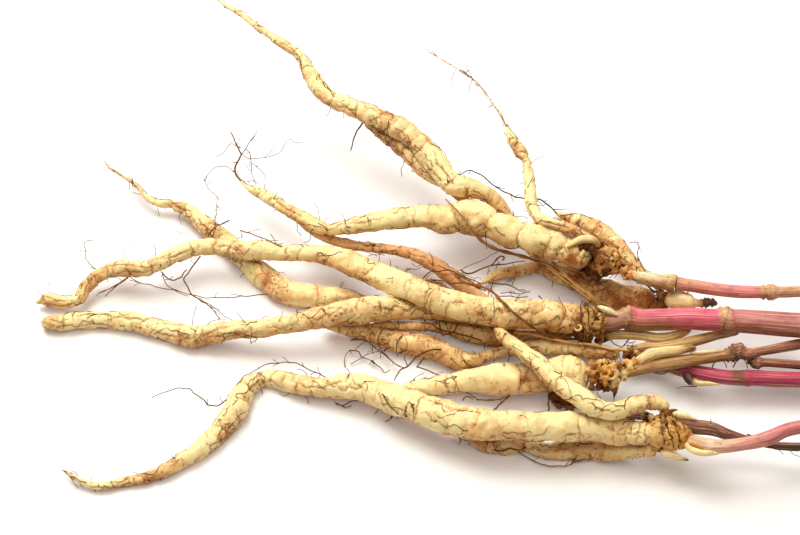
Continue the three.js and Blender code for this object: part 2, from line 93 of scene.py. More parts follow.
# How each root looks: how stained it is, how lumpy, the usual mm between creases, its girth,
# and how much more it is stained toward its crown.
ROOT_LOOKS = {
    "root_upper_long": (0.04, 1.0, 3.2, 1.02, 0.1), "root_upper_strand": (0.16, 1.0, 3.6, 1.06, 0.0),
    "root_fork": (0.02, 1.5, 6.0, 1.04, 0.1), "root_club": (0.06, 0.9, 5.0, 1.15, 0.35),
    "root_back": (0.03, 1.3, 3.4, 1.03, 0.15), "root_shaded": (0.1, 1.5, 5.0, 1.12, 0.1),
    "root_left_diagonal": (0.03, 1.1, 3.6, 1.03, 0.0), "root_left_long": (0.04, 1.0, 3.8, 1.05, 0.2),
    "root_blunt": (0.02, 1.2, 4.2, 1.03, 0.1), "root_lower_strand": (0.16, 1.4, 4.0, 1.1, 0.1),
    "root_ribbed": (0.14, 0.9, 2.4, 1.06, 0.05), "root_fat": (0.0, 1.8, 5.5, 1.04, 0.05),
    "root_crossing": (0.06, 1.0, 3.6, 1.05, 0.1), "root_bottom_long": (0.04, 1.2, 4.0, 1.05, 0.05),
    "root_bottom_under": (0.1, 1.3, 3.2, 1.06, 0.05), "root_tan": (0.06, 0.7, 6.0, 1.14, 0.4),
    "root_brown_thin": (0.5, 0.4, 5.0, 1.0, 0.0),
}
# Where a part is thicker still: mm from its -X end, then mm added to its radius.
SWELLINGS = {
    "root_bottom_long": [
        (50, 0), (62, 0.4), (75, 0.5), (90, 0.5), (100, 0.4), (130, 0.5), (200, 0.3), (240, 0),
    ],
    "root_fork": [
        (95, 0), (101, -0.2), (108, 0.5), (117, -0.2), (124, 0.8), (129.5, 0.1), (136, 1.2), (141, 0.9),
        (147, 0.5), (153, 0.8), (158, 0.6),
    ],
    "root_left_diagonal": [
        (34, 0), (42, 0.6), (50, 0.2), (57, 0.7), (80, 0.5), (100, 0.8), (120, 0.6), (135, 0.2),
    ],
    "root_left_long": [
        (2, 0), (5, 0.9), (10, 0.6), (15, 0.3), (22, 0.4), (35, 0.6), (45, 1), (62, 0.8), (75, 0.4),
        (90, 0.2), (150, 0.4), (220, 0),
    ],
    "root_blunt": [(0.3, 0.6), (1, 1.2), (2.5, 0.7), (6, 0.1), (55, 0), (61, 0.3), (70, 0)],
    "root_upper_strand": [(0, 0.2), (6, 0.9), (12, 1.2), (25, 0.9), (45, 0.6), (60, 0)],
    "root_bottom_under": [(0, 0.1), (8, 0.3), (15, 0.7), (25, 1.2), (40, 0.9), (60, 1), (74, 0.6)],
    "root_fat": [(0, 0.4), (6, 0.9), (14, 1.3), (22, 1.2), (30, 0.4), (45, 0.5), (60, 0.3), (70, 0)],
    "root_ribbed": [(0, 0), (3, 0.4), (10, 0.6), (20, 0.3), (30, 0)],
    "root_brown_thin": [(0, -0.2), (30, -0.5), (60, -0.2), (90, 0)],
    "stalk_straw": [(0, 0.6), (13, 0.8), (30, 0.5), (40, 0)],
    "stem_lower_back": [(0, 0.8), (15, 0.7), (28, 0)],
    "stem_brown": [(0, 0.4), (30, 0.2), (38, 0.3), (41, 0.9), (46, 0.6), (50, 0)],
    "stem_middle": [(0, 0.4), (10, 0.2), (14, 0)],
}
# Where a part runs a little aside: mm from its -X end, then mm of shift.
SHIFTS = {
    "root_bottom_under": [(0, -5, 2.2, 0.5), (10, -2.5, 1.2, 0.3), (22, 0, 0, 0)],
    "root_ribbed": [(0, -8.5, 3, 1.5), (8, -5, 2.2, 1.2), (20, -1.5, 0.8, 0.4), (32, 0, 0, 0)],
    "root_upper_strand": [
        (0, -3.5, 4.5, 2), (12, -0.5, 1.8, 2.2), (40, 0.5, 0.8, 1.6), (62, 0.2, 0.2, 0.6),
        (75, 0, 0, 0),
    ],
}
# Rings that pinch a root: mm from its -X end, degrees of reach, depth in mm, shade,
# and the degrees at its middle where they are not the usual ones.
PINCHES = {
    "root_fork": [
        (50, 70, 0.5, 0.9), (85, 80, 0.5, 0.8), (101, 110, 0.9, 1), (117, 90, 0.7, 0.4),
        (129.5, 130, 1.3, 0.8, 115), (141, 70, 1, 1.1, 150), (147, 100, 0.5, 0.6),
    ],
    "root_fat": [(21, 100, 0.6, 0.9), (30, 80, 0.4, 0.4), (46, 110, 1, 0.9), (49.5, 80, 0.8, 0.8)],
    "root_bottom_long": [
        (33, 60, 0.3, 0.8, 140), (47, 70, 0.35, 0.7, 120), (58, 60, 0.4, 0.8, 150),
        (67, 70, 0.4, 0.9, 110), (74, 60, 0.4, 0.9, 160), (80, 60, 0.4, 0.8, 110),
        (87, 80, 0.5, 0.9, 140), (94, 90, 0.8, 1, 130), (98.5, 90, 0.8, 1.1, 120), (104, 80, 0.5, 0.4),
        (156, 60, 0.9, 1.2, 150), (173, 90, 0.4, 0.4), (191, 90, 0.4, 0.35), (219, 70, 0.6, 0.8),
        (232, 80, 0.5, 0.7), (237, 90, 0.5, 0.8), (241, 90, 0.6, 0.8), (244, 100, 0.6, 0.9),
    ],
    "root_left_long": [
        (28, 80, 0.6, 0.9), (34, 60, 0.5, 0.8), (43, 70, 0.6, 0.8), (52, 90, 0.9, 1),
        (60, 70, 0.5, 0.8), (72, 60, 0.5, 0.7), (79, 70, 0.5, 0.9), (125, 80, 0.5, 0.5),
        (222, 100, 0.7, 0.9),
    ],
    "root_blunt": [
        (9, 90, 0.6, 0.9), (20, 70, 0.4, 0.4), (37, 70, 0.4, 0.6), (57, 80, 0.8, 1, 150),
        (66, 70, 0.5, 0.9), (84, 60, 0.4, 0.6),
    ],
    "root_upper_long": [
        (83, 90, 0.6, 0.7, 120), (90, 70, 0.5, 0.7, 120), (104, 80, 0.6, 0.4), (109.5, 90, 0.8, 0.45),
        (116, 90, 0.8, 0.5), (122, 90, 0.8, 0.6), (127, 90, 0.8, 0.7), (147, 80, 0.5, 0.9),
    ],
    "root_upper_strand": [
        (7, 110, 0.7, 1), (12, 110, 0.7, 0.9), (18, 110, 0.7, 1.1), (25, 110, 0.7, 1),
        (31, 110, 0.7, 1),
    ],
    "root_club": [(61, 90, 0.4, 0.7), (71, 90, 0.4, 0.8), (84, 90, 0.3, 0.6)],
    "root_left_diagonal": [(39, 110, 0.6, 1.1), (45, 110, 0.6, 1.1), (95, 90, 0.6, 0.8)],
}
# Long cracks in the skin: mm from the root's -X end and degrees, point after point.
CRACKS = {
    "root_bottom_long": [
        [(103, 70), (108, 105), (113, 130), (120, 118), (127, 95), (131, 90)],
        [(130, 70), (133, 115), (137, 125)], [(141, 110), (145, 135), (148, 170), (151, 200)],
        [(157, 60), (163, 70), (170, 75), (178, 68), (186, 72)], [(60, 150), (66, 120), (72, 160)],
        [(62, 190), (70, 170), (78, 185)], [(122, 185), (128, 195), (134, 180)],
        [(212, 165), (218, 150), (222, 175)],
    ],
    "root_left_long": [
        [(17, 150), (22, 120), (28, 100), (34, 120)],
        [(30, 70), (38, 95), (46, 100), (52, 130), (56, 150)], [(38, 160), (46, 150), (52, 165)],
        [(50, 80), (58, 100), (64, 95)], [(4, 90), (9, 120), (15, 110)],
        [(5, 160), (12, 170), (17, 150)], [(56, 110), (62, 130), (70, 125)],
        [(180, 120), (184, 100), (189, 110), (191, 135), (186, 145)],
        [(194, 90), (199, 120), (206, 110), (212, 130)],
    ],
    "root_blunt": [
        [(3, 100), (8, 120), (12, 110)], [(25, 130), (32, 100), (38, 95)],
        [(44, 120), (50, 150), (56, 140), (60, 110)], [(62, 160), (68, 120), (74, 100), (80, 95)],
        [(64, 120), (72, 150), (80, 140), (86, 150)], [(14, 160), (22, 150), (30, 170)],
    ],
    "root_left_diagonal": [
        [(34, 100), (40, 130), (46, 120), (50, 90)], [(38, 90), (44, 150), (47, 120)],
        [(52, 110), (58, 120), (64, 150)], [(92, 90), (96, 130), (94, 160)],
    ],
    "root_upper_long": [
        [(42, 130), (50, 110), (57, 150), (63, 160), (69, 165)], [(72, 80), (78, 70), (83, 60)],
        [(86, 120), (90, 140), (96, 170), (100, 185)], [(100, 50), (106, 60), (112, 78)],
        [(132, 80), (138, 110), (144, 100), (150, 130)], [(130, 140), (137, 165), (146, 150)],
    ],
    "root_upper_strand": [
        [(2, 100), (10, 80), (20, 90), (30, 75), (40, 90)],
        [(5, 150), (14, 170), (24, 150), (34, 165), (44, 150)],
        [(8, 120), (12, 140), (16, 110), (22, 125)],
    ],
    "root_crossing": [
        [(12, 165), (24, 158), (34, 170), (44, 162), (50, 150)], [(50, 110), (56, 130), (62, 120)],
    ],
    "root_fork": [[(24, 90), (32, 120), (40, 100)], [(58, 100), (66, 120), (74, 110)]],
}
# Marks on the skin: mm from the root's -X end, degrees up from its far side, mm of its radius,
# stain, and scar.
MARKS = {
    "root_fork": [(152, 155, 1.6, 0.55, 0.1), (84, 120, 1, 0.2, 0.9), (30, 130, 6, 0.22, 0.1)],
    "root_fat": [(48, 120, 2.2, 0.5, 0.2), (40, 150, 2.5, 0.2, 0)],
    "root_left_long": [
        (10, 125, 6, 0.2, 0.1), (24, 140, 5, 0.22, 0.1), (44, 150, 6, 0.2, 0), (186, 110, 5, 0.16, 0),
        (192, 135, 2, 0.2, 0.7), (198, 110, 1.2, 0.2, 0.9), (212, 120, 5, 0.16, 0),
        (205, 150, 1, 0.1, 1), (228, 125, 4, 0.25, 0),
    ],
    "root_blunt": [
        (57, 150, 4, 0.32, 0.2), (68, 130, 4, 0.3, 0.1), (4, 120, 4, 0.24, 0), (40, 150, 5, 0.15, 0),
    ],
    "root_left_diagonal": [
        (42, 125, 4, 0.28, 0.3), (60, 125, 3.5, 0.26, 0.2), (95, 125, 3, 0.28, 0.2),
        (15, 125, 8, 0.15, 0),
    ],
    "root_bottom_long": [
        (94, 160, 2, 0.3, 0.8), (81, 130, 1.4, 0.2, 0.8), (34, 140, 4, 0.2, 0), (66, 170, 4, 0.16, 0.1),
        (44, 100, 3, 0.15, 0.1), (158, 110, 1.2, 0.1, 1.1), (226, 95, 1.2, 0.3, 0.5),
    ],
    "root_upper_long": [(62, 165, 4, 0.2, 0), (78, 160, 4, 0.16, 0.3), (106, 60, 4, 0.2, 0.2)],
    "root_club": [(64, 110, 1.6, 0.3, 0.6), (118, 110, 6, 0.2, 0.1)],
    "root_shaded": [
        (14, 110, 1.2, 0.2, 1), (17, 140, 0.9, 0.2, 1), (30, 110, 4, 0.3, 0), (44, 125, 5, 0.35, 0.1),
        (58, 110, 4, 0.3, 0), (66, 140, 4, 0.35, 0.1), (74, 125, 4, 0.5, 0), (40, 140, 1.5, 0.5, 0.9),
        (52, 130, 1.2, 0.4, 1), (63, 150, 1.4, 0.4, 0.9), (70, 115, 1, 0.4, 1),
        (35, 115, 1.2, 0.3, 0.8),
    ],
    "root_back": [(6, 125, 3, 0.3, 0.1), (24, 150, 5, 0.25, 0.2), (34, 110, 4, 0.2, 0.1)],
}
BROWN_ROOTS = ("root_tan", "root_brown_thin")
# Where a root's skin has weathered to a plain orange tan: mm from its -X end, the share of it,
# and the least shade, a crease darkening that paints shade toward its crown end.
WEATHERED = {
    "root_tan": [
        (0, 0.3, 0.1), (8, 0.5, 0), (26, 0.6, 0), (38, 0.9, 0), (48, 0.9, 0.15), (56, 0.9, 0.4),
        (66, 0.8, 0.45), (80, 0.6, 0.3),
    ],
}


# ---------------------------------------------------------------- properties


def linear(hex_colour):
    """An sRGB hex colour as linear red, green and blue."""
    shares = [int(hex_colour[i:i + 2], 16) / 255 for i in (1, 3, 5)]
    return tuple(s / 12.92 if s <= 0.04045 else ((s + 0.055) / 1.055) ** 2.4 for s in shares)


def length(name, description, default_mm):
    """A length property, given in millimetres."""
    return bpy.props.FloatProperty(
        name=name, description=description, default=default_mm * MM, unit="LENGTH", precision=5)


def colour(name, description, hex_colour):
    """A colour property, given as an sRGB hex value."""
    return bpy.props.FloatVectorProperty(
        name=name, description=description, default=linear(hex_colour), subtype="COLOR", size=3,
        min=0, max=1)


class RootSettings(bpy.types.PropertyGroup):
    ring_step: length("Ring step", "Distance between two rings of the skin along a root", 0.4)
    crease_depth: length("Crease depth", "Depth of a deep crease", 0.9)
    bulge: bpy.props.FloatProperty(
        name="Bulge", description="Height of the swellings, as a share of the radius", default=0.1,
        subtype="FACTOR")
    flesh: colour("Flesh", "Cream of clean, well lit skin", "#FCE7A8")
    # Tan also carries the painted shade toward the lower side of a root.
    tan: colour("Tan", "Tan of older skin and of shallow creases", "#E9BC7C")
    weathered: colour("Weathered", "Orange tan of skin that has weathered", "#E4A66C")
    # This orange brown is a real stain colour, and also the painted shade in creases and on the lower
    # side.
    rust_and_shade: colour("Rust", "Orange brown of stained skin", "#AA672A")
    # The crack colour is also the painted shade at the bottom of deep creases.
    crack: colour("Crack", "Dark brown of cracks and scars", "#3E1F08")


class RootstockSettings(bpy.types.PropertyGroup):
    voxel: length("Voxel", "Size of the grid that fuses the knobs", 0.36)
    relief: length("Relief", "Height of the bark's lumps", 0.25)


class StageSettings(bpy.types.PropertyGroup):
    camera_elevation: bpy.props.FloatProperty(
        name="Camera elevation", description="Height of the view above the horizon",
        default=math.radians(55), subtype="ANGLE")
    camera_distance: length("Camera distance", "Distance from the camera to the clump", 756)
    lens: bpy.props.FloatProperty(
        name="Lens", description="Focal length of the camera", default=85, subtype="DISTANCE_CAMERA")
    aim_x: length("Aim X", "Place that the camera looks at, along X", -8.366)
    aim_y: length("Aim Y", "Place that the camera looks at, along Y", -11.739)
    key_power: bpy.props.FloatProperty(
        name="Key light", description="Power of the large soft lamp", default=14.7, unit="POWER")
    top_power: bpy.props.FloatProperty(
        name="Top light", description="Power of the wide lamp overhead", default=9, unit="POWER")
    sky: bpy.props.FloatProperty(
        name="Sky", description="Strength of the even light from all round", default=0.2)


# ---------------------------------------------------------------- shared tools


def select_only(piece):
    bpy.ops.object.select_all(action="DESELECT")
    piece.select_set(True)
    bpy.context.view_layer.objects.active = piece


def add_object(name, data):
    """A new object in the scene."""
    made = bpy.data.objects.new(name, data)
    bpy.context.scene.collection.objects.link(made)
    return made


def unit(vectors):
    """The same vectors, all of length one."""
    return vectors / np.linalg.norm(vectors, axis=-1, keepdims=True)


def bell(offset, width):
    """One where the offset is zero, falling to nothing past about two widths."""
    return np.exp(-(offset / width) ** 2)


def smooth_noise(points, seed, cells=32):
    """Smooth noise from -1 to 1 at points given in steps of its lattice."""
    table = np.random.default_rng(seed).uniform(-1, 1, (cells, cells, cells))
    base = np.floor(points).astype(int)
    share = points - base
    share = share * share * (3 - 2 * share)
    total = np.zeros(points.shape[:-1])
    for corner in np.ndindex(2, 2, 2):
        weight = np.prod(np.where(corner, share, 1 - share), axis=-1)
        i, j, k = np.moveaxis((base + corner) % cells, -1, 0)
        total += weight * table[i, j, k]
    return total


def merged_shape(node):
    """A CAD node's shape with its loose triangles joined."""
    shape = bmesh.new()
    shape.from_mesh(node.data)
    bmesh.ops.remove_doubles(shape, verts=shape.verts[:], dist=MERGE)
    return shape


def read_spine(name):
    """Middles and radii in mm of a swept CAD node's sections, from its -X end to its +X end."""
    shape = merged_shape(frame["nodes"][name])
    poles = [v for v in shape.verts if all(len(e.other_vert(v).link_edges) == 5 for e in v.link_edges)]
    start = min(poles, key=lambda pole: pole.co.x)
    middles, radii, seen, ring = [], [], {start}, [start]
    while ring:
        places = np.array([v.co[:] for v in ring]) / MM
        middle = places.mean(axis=0)
        middles.append(middle)
        radii.append(float(np.median(np.linalg.norm(places - middle, axis=1))))
        after = {e.other_vert(v) for v in ring for e in v.link_edges} - seen
        seen |= after
        ring = sorted(after, key=lambda v: v.index)
    shape.free()
    middles, radii = np.array(middles), np.array(radii)
    flat_ends = [i for i, beside in ((0, 1), (-1, -2))
                 if np.linalg.norm(middles[i] - middles[beside]) < 0.05]
    return np.delete(middles, flat_ends, axis=0), np.delete(radii, flat_ends)


def smooth_line(middles, radii, step):
    """Even stations along a smooth curve through the sections: places, radii and length along, in mm."""
    knots = np.column_stack([middles, radii])
    gaps = np.linalg.norm(np.diff(knots[:, :3], axis=0), axis=1)
    slopes = np.diff(knots, axis=0) / gaps[:, None]
    before, after = gaps[:-1, None], gaps[1:, None]
    inner = (slopes[:-1] * after + slopes[1:] * before) / (before + after)
    steepest = 2 * np.minimum(np.abs(slopes[:-1, 3]), np.abs(slopes[1:, 3]))
    inner[:, 3] = np.clip(inner[:, 3], -steepest, steepest) * (slopes[:-1, 3] * slopes[1:, 3] > 0)
    slopes = np.vstack([slopes[:1], inner, slopes[-1:]])
    t = np.linspace(0, 1, 24, endpoint=False)[:, None]
    spans = []
    for i, gap in enumerate(gaps):
        spans.append(
            (2 * t**3 - 3 * t**2 + 1) * knots[i] + (t**3 - 2 * t**2 + t) * gap * slopes[i]
            + (3 * t**2 - 2 * t**3) * knots[i + 1] + (t**3 - t**2) * gap * slopes[i + 1])
    dense = np.vstack(spans + [knots[-1:]])
    along = np.append(0, np.cumsum(np.linalg.norm(np.diff(dense[:, :3], axis=0), axis=1)))
    stations = np.linspace(0, along[-1], max(8, int(along[-1] / step)))
    line = np.column_stack([np.interp(stations, along, dense[:, axis]) for axis in range(4)])
    return line[:, :3], np.maximum(line[:, 3], 0.05), stations


def mesh_from(name, curve, mend, **how):
    """The curve as a mesh piece, mended in edit mode and with its faces turned outward."""
    piece = add_object(name, curve)
    select_only(piece)
    bpy.ops.object.convert(target="MESH")
    bpy.ops.object.mode_set(mode="EDIT")
    bpy.ops.mesh.select_all(action="SELECT")
    mend(**how)
    bpy.ops.mesh.normals_make_consistent(inside=False)
    bpy.ops.object.mode_set(mode="OBJECT")
    return piece


def draw_tube(name, line, radii, sides):
    """A closed tube along a line in mm, drawn as a bevelled curve and made a mesh."""
    curve = bpy.data.curves.new(name, "CURVE")
    curve.dimensions = "3D"
    curve.twist_mode = "Z_UP"
    curve.bevel_depth = 1
    curve.bevel_resolution = sides // 2 - 2
    spline = curve.splines.new("POLY")
    spline.points.add(len(line) - 1)
    spline.points.foreach_set("co", np.column_stack([line * MM, np.ones(len(line))]).ravel())
    spline.points.foreach_set("radius", radii * MM)
    return mesh_from(name, curve, bpy.ops.mesh.fill_holes, sides=0)


def sides_for(radii, choices):
    """How many sides a tube has, by its widest radius."""
    return next(sides for least, sides in choices if radii.max() > least)


def swollen(name, radii, stations):
    """Radii with the part's swellings added."""
    return radii + np.interp(stations, *zip(*SWELLINGS.get(name, [(0, 0.0)])))


def rounded_ends(radii, stations):
    """Radii that close in a dome at both ends."""
    for reach in (stations / radii[0], (stations[-1] - stations) / radii[-1]):
        radii = radii * np.sqrt(np.clip(1 - (1 - np.minimum(reach, 1)) ** 2, 0.02, 1))
    return radii


def frames_along(line):
    """Direction, level side and upper side at each station of a line."""
    ahead = unit(np.gradient(line, axis=0))
    side = unit(np.cross(UP, ahead))
    return ahead, side, np.cross(ahead, side)


def vectors_of(piece, field):
    """One vector for each vertex of the piece."""
    flat = np.empty(len(piece.data.vertices) * 3)
    piece.data.vertices.foreach_get(field, flat)
    return flat.reshape(-1, 3)


def places_of(piece):
    """The place of each vertex, in mm."""
    return vectors_of(piece, "co") / MM


def move_to(piece, places):
    """Puts the vertices at places in mm, kept on the surface below and inside the clump's own box."""
    inside = np.clip(places * MM, np.array(CAD_LOW), np.array(CAD_HIGH))
    piece.data.vertices.foreach_set("co", inside.ravel())
    piece.data.update()


def tube_and_angles(name, line, radii, sides):
    """A tube, the outward direction at each of its points, and its angle from the level side."""
    tube = draw_tube(name, line, radii, sides)
    outward = unit(places_of(tube).reshape(len(line), sides, 3) - line[:, None])
    _, side, upper = frames_along(line)
    angles = np.arctan2((outward * upper[:, None]).sum(-1), (outward * side[:, None]).sum(-1))
    return tube, outward, angles


def raise_surface(tube, line, outward, radii, height):
    """Moves a tube's points out to its radii and a height over them, in mm."""
    surface = line[:, None] + outward * (radii[:, None] + height)[:, :, None]
    move_to(tube, surface.reshape(-1, 3))


def straightened(stations, radii, angles):
    """Each point's place in mm on the tube as if it were straight, so that patterns follow its bends."""
    along = np.broadcast_to(stations[:, None], angles.shape)
    return np.stack([along, radii[:, None] * np.cos(angles), radii[:, None] * np.sin(angles)], -1)


def store(piece, name, values):
    """Keeps one number, vector or colour for each vertex of the piece."""
    kinds = {1: ("FLOAT", "value"), 3: ("FLOAT_VECTOR", "vector"), 4: ("FLOAT_COLOR", "color")}
    kind, field = kinds[1 if values.ndim == 1 else values.shape[1]]
    attribute = piece.data.attributes.new(name, kind, "POINT")
    attribute.data.foreach_set(field, values.ravel())


def store_along(piece, stations, radii, angles):
    """Keeps the places on the straightened tube, in metres."""
    store(piece, "along", straightened(stations, radii, angles).reshape(-1, 3) * MM)


def finish_piece(piece, material, slot, *nodes):
    piece.data.materials.clear()
    piece.data.materials.append(material)
    select_only(piece)
    bpy.ops.object.shade_smooth()
    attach(piece, "root")
    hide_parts(*nodes)


# ---------------------------------------------------------------- materials


def new_material(name):
    """An empty node material with its output, as (material, tree, output)."""
    material = bpy.data.materials.new(name)
    material.use_nodes = True
    tree = material.node_tree
    tree.nodes.clear()
    return material, tree, tree.nodes.new("ShaderNodeOutputMaterial")


def add_node(tree, kind, settings=None, inputs=None, stops=None):
    """Adds a shader node, sets its settings and ramp stops, and sets or links each input."""
    node = tree.nodes.new("ShaderNode" + kind)
    for name, value in (settings or {}).items():
        setattr(node, name, value)
    if stops:
        ramp = node.color_ramp
        while len(ramp.elements) < len(stops):
            ramp.elements.new(0.5)
        for element, (place, shade) in zip(ramp.elements, stops):
            element.position = place
            element.color = (*shade, 1) if len(shade) == 3 else shade
    for name, value in (inputs or {}).items():
        if isinstance(value, bpy.types.NodeSocket):
            tree.links.new(value, node.inputs[name])
        else:
            node.inputs[name].default_value = value
    return node


def root_skin_material(look):
    """Thin cork skin of a washed storage root: waxy cream flesh, with fine dark cracks across it."""
    material, tree, output = new_material("storage_root_cork_skin")
    along, crease, stain_and_shade, weathered = (
        add_node(tree, "Attribute", {"attribute_name": name}).outputs[socket] for name, socket in (
            ("along", "Vector"), ("crease", "Fac"), ("stain_and_shade", "Fac"), ("weathered", "Fac")))
    noise = {size: add_node(tree, "TexNoise", None, {
        "Vector": along, "Scale": 1 / (size * MM), "Detail": 4.0, "Roughness": 0.62, "Distortion": bend})
        for size, bend in ((9, 0.0), (7, 0.5), (5, 0.0), (1.7, 0.0), (1.5, 0.0), (1, 0.0))}

    # Blotches of 7 mm between clean cream flesh and old tan skin, pushed toward tan and orange brown by
    # the stain and by the painted shade on the lower side.
    aged = add_node(tree, "Math", {"operation": "ADD"}, {
        0: noise[7].outputs["Fac"], 1: stain_and_shade}).outputs[0]
    base = add_node(tree, "ValToRGB", None, {"Fac": aged}, [
        (0.38, tuple(look.flesh)), (0.62, tuple(look.tan)), (0.96, tuple(look.rust_and_shade))]).outputs["Color"]
    base = add_node(tree, "Mix", {"data_type": "RGBA"}, {
        0: weathered, 6: base, 7: (*look.weathered, 1)}).outputs[2]
    # Soil flecks and fine cracks gather where the stain is, so also on the lower side with its painted
    # shade.
    soiled = add_node(tree, "Math", {"operation": "MULTIPLY_ADD"}, {
        0: stain_and_shade, 1: 0.7, 2: noise[9].outputs["Fac"]}).outputs[0]

    # A net of fine cracks, 3.4 mm from one to the next, where the skin is soiled.
    warped = add_node(tree, "VectorMath", {"operation": "MULTIPLY_ADD"}, {
        0: noise[1.7].outputs["Color"], 1: (2.2 * MM, 2.2 * MM, 2.2 * MM), 2: along}).outputs["Vector"]
    net = add_node(tree, "TexVoronoi", {"feature": "DISTANCE_TO_EDGE"}, {
        "Vector": warped, "Scale": 1 / (3.4 * MM)}).outputs["Distance"]
    # Specks of 0.4 mm where root hairs broke off.
    cells = add_node(tree, "TexVoronoi", None, {"Vector": along, "Scale": 1 / (2.2 * MM)})
    fleck, soil, brown, black, crack, dirty, speck, spotty = (
        add_node(tree, "MapRange", {"interpolation_type": "SMOOTHSTEP"}, {
            "Value": value, "From Min": low, "From Max": high, "To Min": bottom, "To Max": top
            }).outputs["Result"]
        for value, low, high, bottom, top in (
            (noise[1.5].outputs["Fac"], 0.52, 0.63, 0.0, 0.85), (soiled, 0.44, 0.62, 0.0, 1.0),
            (crease, 0.08, 0.6, 0.0, 0.7), (crease, 0.6, 1.1, 0.0, 0.9), (net, 0.0, 0.045, 0.7, 0.0),
            (soiled, 0.52, 0.64, 0.0, 1.0), (cells.outputs["Distance"], 0.07, 0.18, 0.9, 0.0),
            (noise[5].outputs["Fac"], 0.5, 0.58, 0.0, 1.0)))
    flecks, cracks, specks = (
        add_node(tree, "Math", {"operation": "MULTIPLY"}, {0: first, 1: second}).outputs[0]
        for first, second in ((fleck, soil), (crack, dirty), (speck, spotty)))

    # Soil in the cork, then the shade that gathers in the creases: orange brown first, then nearly black.
    skin = base
    soil_tone = linear("#985820")
    for share, over in ((flecks, soil_tone), (specks, soil_tone), (brown, look.rust_and_shade),
                        (cracks, linear("#6A3A14")), (black, look.crack)):
        skin = add_node(tree, "Mix", {"data_type": "RGBA"}, {
            0: share, 6: skin, 7: (*over, 1)}).outputs[2]

    # Relief: cracks are cut in, and a grain of 1 mm stands proud.
    cut = add_node(tree, "Math", {"operation": "MULTIPLY_ADD"}, {
        0: cracks, 1: -0.8, 2: noise[1].outputs["Fac"]}).outputs[0]
    bump = add_node(tree, "Bump", None, {
        "Height": cut, "Strength": 0.8, "Distance": 0.3 * MM}).outputs["Normal"]
    shader = add_node(tree, "BsdfPrincipled", None, {
        "Base Color": skin, "Normal": bump, "Roughness": 0.5, "Specular IOR Level": 0.3,
        "Subsurface Weight": 0.1, "Subsurface Radius": (1.0, 0.5, 0.2), "Subsurface Scale": 0.9 * MM
        }).outputs["BSDF"]
    tree.links.new(shader, output.inputs["Surface"])
    return material


# ---------------------------------------------------------------- storage roots

CREASE_WIDTH = 0.24          # mm from the bottom of a crease to its edge
SHOULDER = 0.8               # mm over which swollen flesh rounds down into a crease
CREASE_REACH = 6             # mm to each side that a crooked crease may wander
PINCH_WIDTH = 2.4            # mm to each side that a pinch draws the root in
PINCH_REACH = 7              # mm to each side that a pinch may wander
RINGED_NECK = 11             # mm of a root, at its crown, that fine rings run round
RING_PITCH = 2.1             # mm from one of those rings to the next
STAINED_NECK = 35            # mm of a root, at its crown, that may be more stained


def round_turn(angles):
    """The same angles, from minus half a turn to half a turn."""
    return (angles + math.pi) % (2 * math.pi) - math.pi


